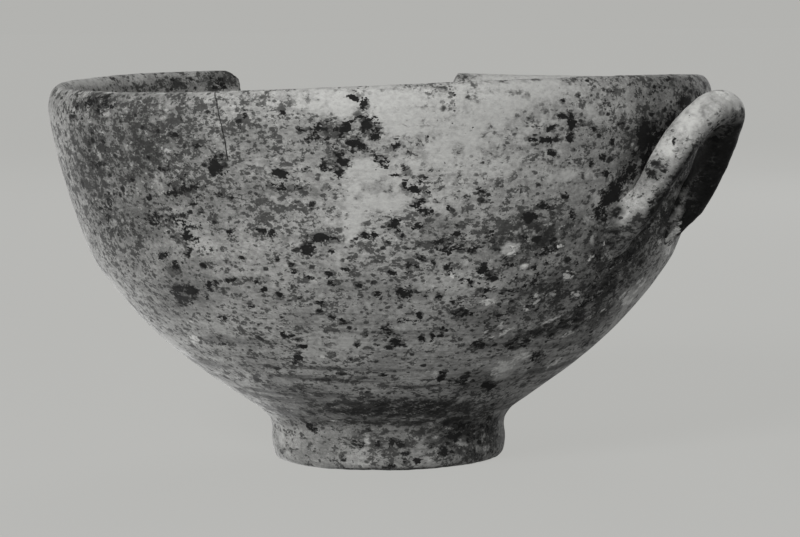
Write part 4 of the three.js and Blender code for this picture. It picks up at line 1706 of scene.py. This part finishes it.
@dataclass
class RingFoot:
    """The ring that the bowl stands on, with the clay worked into the angle above it."""

    shape: BowlShape
    clay: bpy.types.Material
    ring_width: float = 0.0075
    # Radius and height up the outside and over the top, which lies inside the wall
    outline: tuple[tuple[float, float], ...] = (
        (0.0235, 0.0), (0.0255, 0.0), (0.0270, 0.0), (0.0279, 0.0004), (0.0285, 0.0016), (0.0289, 0.0034),
        (0.02885, 0.0058), (0.0286, 0.0078), (0.0288, 0.0092), (0.0294, 0.0105), (0.0306, 0.0119),
        (0.0316, 0.0126), (0.0300, 0.0135), (0.0245, 0.0112),
    )
    # Step out from the ring's inner face and height, where the sole starts and down the inside
    sole_start: tuple[tuple[float, float], ...] = ((0.0004, 0.0), (0.0008, 0.0))
    inside: tuple[tuple[float, float], ...] = (
        (0.001, 0.0092), (-0.0004, 0.0075), (-0.0002, 0.0040), (0.0, 0.0012), (0.0001, 0.0004), (0.0004, 0.0),
    )
    turn_steps: int = 72
    smooth_levels: int = 2
    lumps: tuple[Lumps, ...] = (Lumps(0.012, 0.0004), Lumps(0.003, 0.00018))
    sharp_angle: float = math.radians(50)

    def profile(self) -> list[Vector]:
        """Draws the closed profile of the ring.

        Returns:
            Points with the radius in x and the height in z.
        """
        inner = self.shape.foot_radius - self.ring_width
        start = [(inner + step, height) for step, height in self.sole_start]
        end = [(inner + step, height) for step, height in self.inside]
        return [Vector((radius, 0, height)) for radius, height in (*start, *self.outline, *end)]

    def build(self) -> bpy.types.Object:
        """Models the foot.

        Returns:
            The finished mesh object.
        """
        foot = spin_profile("ring_foot", self.profile(), self.shape.axis, self.turn_steps)
        smooth_shape(foot, self.smooth_levels)
        for lumps in self.lumps:
            lumps.apply(foot)
        places = self.shape.lean(vertex_places(foot))
        places[:, 2] = np.maximum(places[:, 2], 0.0)
        set_vertices(foot, places)
        foot.data.materials.append(self.clay)
        finish_faces(foot, self.sharp_angle)
        return foot

    def dress(self, foot: bpy.types.Object, painter: MarkPainter) -> None:
        """Paints the marks on the foot."""
        painter.paint(foot, FOOT_MARKS)


@dataclass
class LoopHandle:
    """The roll of clay bent into a loop, and the clay smeared over its roots."""

    shape: BowlShape
    clay: bpy.types.Material
    roll: float = 0.0042
    span: float = 0.027
    rise: float = 0.0285
    bow: float = 0.0020
    tip_drop: float = 0.0066
    squareness: float = 2.5
    finger_gap: float = 0.0066
    root_sink: float = 0.0016
    tail_length: float = 0.006
    tail_sink: float = 0.0046
    tail_taper: float = 0.26
    tail_points: int = 6
    taper_reach: float = 2.5
    bevel_steps: int = 6
    pad_half_width: float = 0.0084
    pad_thickness: float = 0.0056
    pad_half_length: float = 0.0105
    pad_sink: float = 0.0042
    pad_rise: float = 0.0015
    pad_segments: int = 40
    pad_rings: int = 24
    hidden_depth: float = 0.0024
    path_points: int = 44
    voxel: float = 0.0005
    smooth_factor: float = 0.5
    smooth_rounds: int = 16
    lumps: tuple[Lumps, ...] = (Lumps(0.010, 0.0009), Lumps(0.0028, 0.00025))
    sharp_angle: float = math.radians(60)

    def heights(self) -> tuple[float, float]:
        """Gives the heights of the roots and of the tip."""
        tip = self.shape.height - self.tip_drop
        return tip - self.rise, tip

    def path(self) -> list[Vector]:
        """Draws the roll's centre line from one root to the other.

        Returns:
            Points of the line round the bowl's axis.
        """
        root_height, tip_height = self.heights()
        root_reach = self.wall_reach(root_height) - self.root_sink
        tip_reach = self.shape.rim_radius + self.finger_gap + self.roll
        points = []
        for number in range(self.path_points + 1):
            turn = (number / self.path_points - 0.5) * math.pi
            out = abs(math.cos(turn)) ** (2 / self.squareness)
            side = math.copysign(abs(math.sin(turn)) ** (2 / self.squareness), turn)
            points.append(Vector((
                root_reach + (tip_reach - root_reach) * out + self.bulge(out), side * self.span / 2,
                root_height + (tip_height - root_height) * out)))
        tail = []
        for number in range(self.tail_points, 0, -1):
            share = number / self.tail_points
            height = root_height - self.tail_length * share
            sink = self.root_sink + (self.tail_sink - self.root_sink) * share
            tail.append(Vector((self.wall_reach(height) - sink, 0, height)))
        side = Vector((0, self.span / 2, 0))
        return [point - side for point in tail] + points + [point + side for point in tail[::-1]]

    def bulge(self, out: float) -> float:
        """Gives how far the arms bow outwards, most of all a quarter of the way up."""
        return self.bow / BOW_PEAK * out * (1 - out) ** 3

    def wall_reach(self, height: float) -> float:
        """Gives how far out the wall stands at a height, beside a root."""
        return math.sqrt(self.shape.radius_at(height) ** 2 - (self.span / 2) ** 2)

    def build(self) -> bpy.types.Object:
        """Models the handle.

        Returns:
            The finished mesh object.
        """
        roll = self.roll_of_clay()
        pads = [self.pad(side) for side in (-1, 1)]
        select_only(roll, *pads)
        bpy.ops.object.join()
        roll.name = "loop_handle"
        apply_modifier(roll, "REMESH", mode="VOXEL", voxel_size=self.voxel)
        apply_modifier(roll, "SMOOTH", factor=self.smooth_factor, iterations=self.smooth_rounds)
        for lumps in self.lumps:
            lumps.apply(roll)
        set_vertices(roll, self.shape.lean(self.keep_in_wall(vertex_places(roll))))
        roll.data.materials.append(self.clay)
        finish_faces(roll, self.sharp_angle)
        return roll

    def dress(self, handle: bpy.types.Object, painter: MarkPainter) -> None:
        """Paints the marks on the handle."""
        painter.paint(handle, HANDLE_MARKS, HANDLE_MARKS)

    def keep_in_wall(self, points: np.ndarray) -> np.ndarray:
        """Brings what lies deep in the wall up to just below the wall's outer face.

        Args:
            points: Places in the upright bowl.

        Returns:
            Places that don't come out on the wall's inner face.
        """
        level = points[:, :2] - np.array(self.shape.axis)[:2]
        reach = np.linalg.norm(level, axis=1)
        least = self.shape.radii_at(points[:, 2]) - self.hidden_depth
        moved = points.copy()
        moved[:, :2] += level * (np.maximum(reach, least) / reach - 1)[:, None]
        return moved

    def roll_of_clay(self) -> bpy.types.Object:
        """Models the bent roll, which runs out thinner into the wall.

        Returns:
            The roll as a closed mesh.
        """
        roll = start_polyline("handle_roll_shape", [self.shape.axis + point for point in self.path()])
        bpy.ops.object.mode_set(mode="OBJECT")
        bpy.ops.object.convert(target="CURVE")
        curve = roll.data
        curve.bevel_depth = self.roll
        curve.bevel_resolution = self.bevel_steps
        curve.use_fill_caps = True
        points = curve.splines[0].points
        for number, point in enumerate(points):
            from_end = min(number, len(points) - 1 - number)
            share = max(0.0, 1 - from_end / (self.taper_reach * self.tail_points))
            point.radius = 1.0 - self.tail_taper * share
        bpy.ops.object.convert(target="MESH")
        return bpy.context.object

    def pad(self, side: int) -> bpy.types.Object:
        """Models the clay smeared round one root.

        Args:
            side: -1 for the near root, 1 for the far one.

        Returns:
            The pad as a closed mesh, in place.
        """
        height = self.heights()[0] + self.pad_rise
        low = self.shape.radius_at(height - self.pad_half_length)
        high = self.shape.radius_at(height + self.pad_half_length)
        tilt = math.atan2(high - low, 2 * self.pad_half_length)
        swing = side * math.asin(self.span / 2 / self.shape.radius_at(self.heights()[0]))
        bpy.ops.object.select_all(action="DESELECT")
        bpy.ops.mesh.primitive_uv_sphere_add(segments=self.pad_segments, ring_count=self.pad_rings, radius=1)
        pad = bpy.context.object
        size = Matrix.Diagonal((self.pad_thickness, self.pad_half_width, self.pad_half_length, 1))
        reach = Matrix.Translation((self.shape.radius_at(height), 0, height))
        sink = Matrix.Translation((-self.pad_sink, 0, 0))
        pad.matrix_world = (Matrix.Translation(self.shape.axis) @ Matrix.Rotation(swing, 4, "Z") @ reach
                            @ Matrix.Rotation(tilt, 4, "Y") @ sink @ size)
        bpy.ops.object.transform_apply(location=True, rotation=True, scale=True)
        return pad


@dataclass(frozen=True)
class SoftLight:
    """A large soft lamp, placed in the photograph's right, away and up directions."""

    name: str
    place: tuple[float, float, float]
    size: float
    power: float

    def build(self, camera: PhotoCamera, target: Vector) -> None:
        """Adds the lamp, aimed at a place.

        Args:
            camera: Camera whose directions it uses.
            target: Place that it lights.
        """
        data = bpy.data.lights.new(self.name, "AREA")
        data.shape = "DISK"
        data.size = self.size
        data.energy = self.power
        lamp = bpy.data.objects.new(self.name, data)
        lamp.location = target + camera.turn() @ Vector(self.place)
        lamp.rotation_euler = (target - lamp.location).to_track_quat("-Z", "Y").to_euler()
        lamp.visible_camera = False
        bpy.context.scene.collection.objects.link(lamp)


@dataclass
class Studio:
    """Plain pale floor and soft light."""

    camera: PhotoCamera
    shape: BowlShape
    floor_size: float = 30.0
    backdrop: float = 183
    floor_glow: float = 0.93
    backdrop_glow: float = 0.95
    floor_tone: float = 0.05
    ambient: float = 0.24
    lamps: tuple[SoftLight, ...] = (
        SoftLight("key_light", (-0.45, -1.05, 0.60), 0.40, 15.5),
        SoftLight("side_light", (-1.10, -0.25, 0.08), 0.50, 1.8),
        SoftLight("front_light", (0.25, -1.15, 0.05), 0.60, 2.6),
        SoftLight("bounce_light", (-0.45, 0.85, -0.50), 0.60, 15.0),
        SoftLight("right_bounce", (0.70, 1.00, 0.05), 0.50, 5.5),
        SoftLight("back_light", (0.15, 1.20, 0.80), 0.60, 5.0),
    )

    def build(self) -> None:
        """Adds the floor, the lamps and the surrounding light."""
        self.floor()
        middle = self.shape.axis + Vector((0, 0, self.shape.height / 2))
        for lamp in self.lamps:
            lamp.build(self.camera, middle)
        self.surroundings()
        bpy.context.scene.view_settings.view_transform = "Standard"

    def floor(self) -> None:
        """Adds the floor, which glows so that shadows stay faint and lets the bounced light through."""
        bpy.ops.object.select_all(action="DESELECT")
        bpy.ops.mesh.primitive_plane_add(size=self.floor_size)
        floor = bpy.context.object
        floor.name = "floor"
        material = bpy.data.materials.new("pale_floor")
        material.use_nodes = True
        shader = material.node_tree.nodes["Principled BSDF"]
        shader.inputs["Base Color"].default_value = (self.floor_tone, self.floor_tone, self.floor_tone, 1)
        shader.inputs["Roughness"].default_value = 1.0
        shader.inputs["Specular IOR Level"].default_value = 0.0
        shader.inputs["Emission Color"].default_value = grey(self.backdrop)
        shader.inputs["Emission Strength"].default_value = self.floor_glow
        floor.data.materials.append(material)
        floor.visible_diffuse = False
        floor.visible_glossy = False
        floor.visible_shadow = False

    def surroundings(self) -> None:
        """Gives the world an even backdrop and a weaker ambient light."""
        world = bpy.data.worlds.new("soft_surroundings")
        world.use_nodes = True
        board = NodeBoard(world.node_tree)
        seen = board.add("ShaderNodeBackground", {
            "Color": grey(self.backdrop), "Strength": self.backdrop_glow})
        light = board.add("ShaderNodeBackground", {"Color": (1, 1, 1, 1), "Strength": self.ambient})
        rays = board.add("ShaderNodeLightPath").outputs["Is Camera Ray"]
        mixed = board.add("ShaderNodeMixShader", {"Fac": rays})
        board.tree.links.new(light.outputs["Background"], mixed.inputs[1])
        board.tree.links.new(seen.outputs["Background"], mixed.inputs[2])
        board.add("ShaderNodeOutputWorld", {"Surface": mixed.outputs["Shader"]})
        bpy.context.scene.world = world


def triangle_count(piece: bpy.types.Object) -> int:
    """Counts the triangles of a mesh."""
    return sum(len(face.vertices) - 2 for face in piece.data.polygons)


def bowl_axis() -> Vector:
    """Gives the place of the bowl's axis on the floor, from the foot ring's solid."""
    low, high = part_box("foot_ring")
    return Vector(((low.x + high.x) / 2, (low.y + high.y) / 2, 0))


def main() -> None:
    """Builds the bowl's pieces, dresses them and sets the stage."""
    logging.basicConfig(level=logging.INFO, format="%(message)s")
    shape = BowlShape(bowl_axis())
    camera = PhotoCamera(shape.axis)
    camera.build()
    effects = ClayEffects()
    painter = MarkPainter(camera)
    pieces = (
        (BowlBody(shape, camera, WALL_CLAY.build(effects), CORE_CLAY.build(effects)), Slot.BOWL,
         ("bowl_wall",)),
        (RingFoot(shape, FOOT_CLAY.build(effects)), Slot.FOOT, ("foot_ring", "foot_coil")),
        (LoopHandle(shape, HANDLE_CLAY.build(effects)), Slot.HANDLE,
         ("handle_roll", "handle_pad_near", "handle_pad_far")),
    )
    for maker, slot, nodes in pieces:
        piece = maker.build()
        maker.dress(piece, painter)
        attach(piece, BODY)
        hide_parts(*nodes)
        LOG.info("%s: %d triangles for %s", piece.name, triangle_count(piece), ", ".join(nodes))
    Studio(camera, shape).build()


if __name__ == "__main__":
    main()
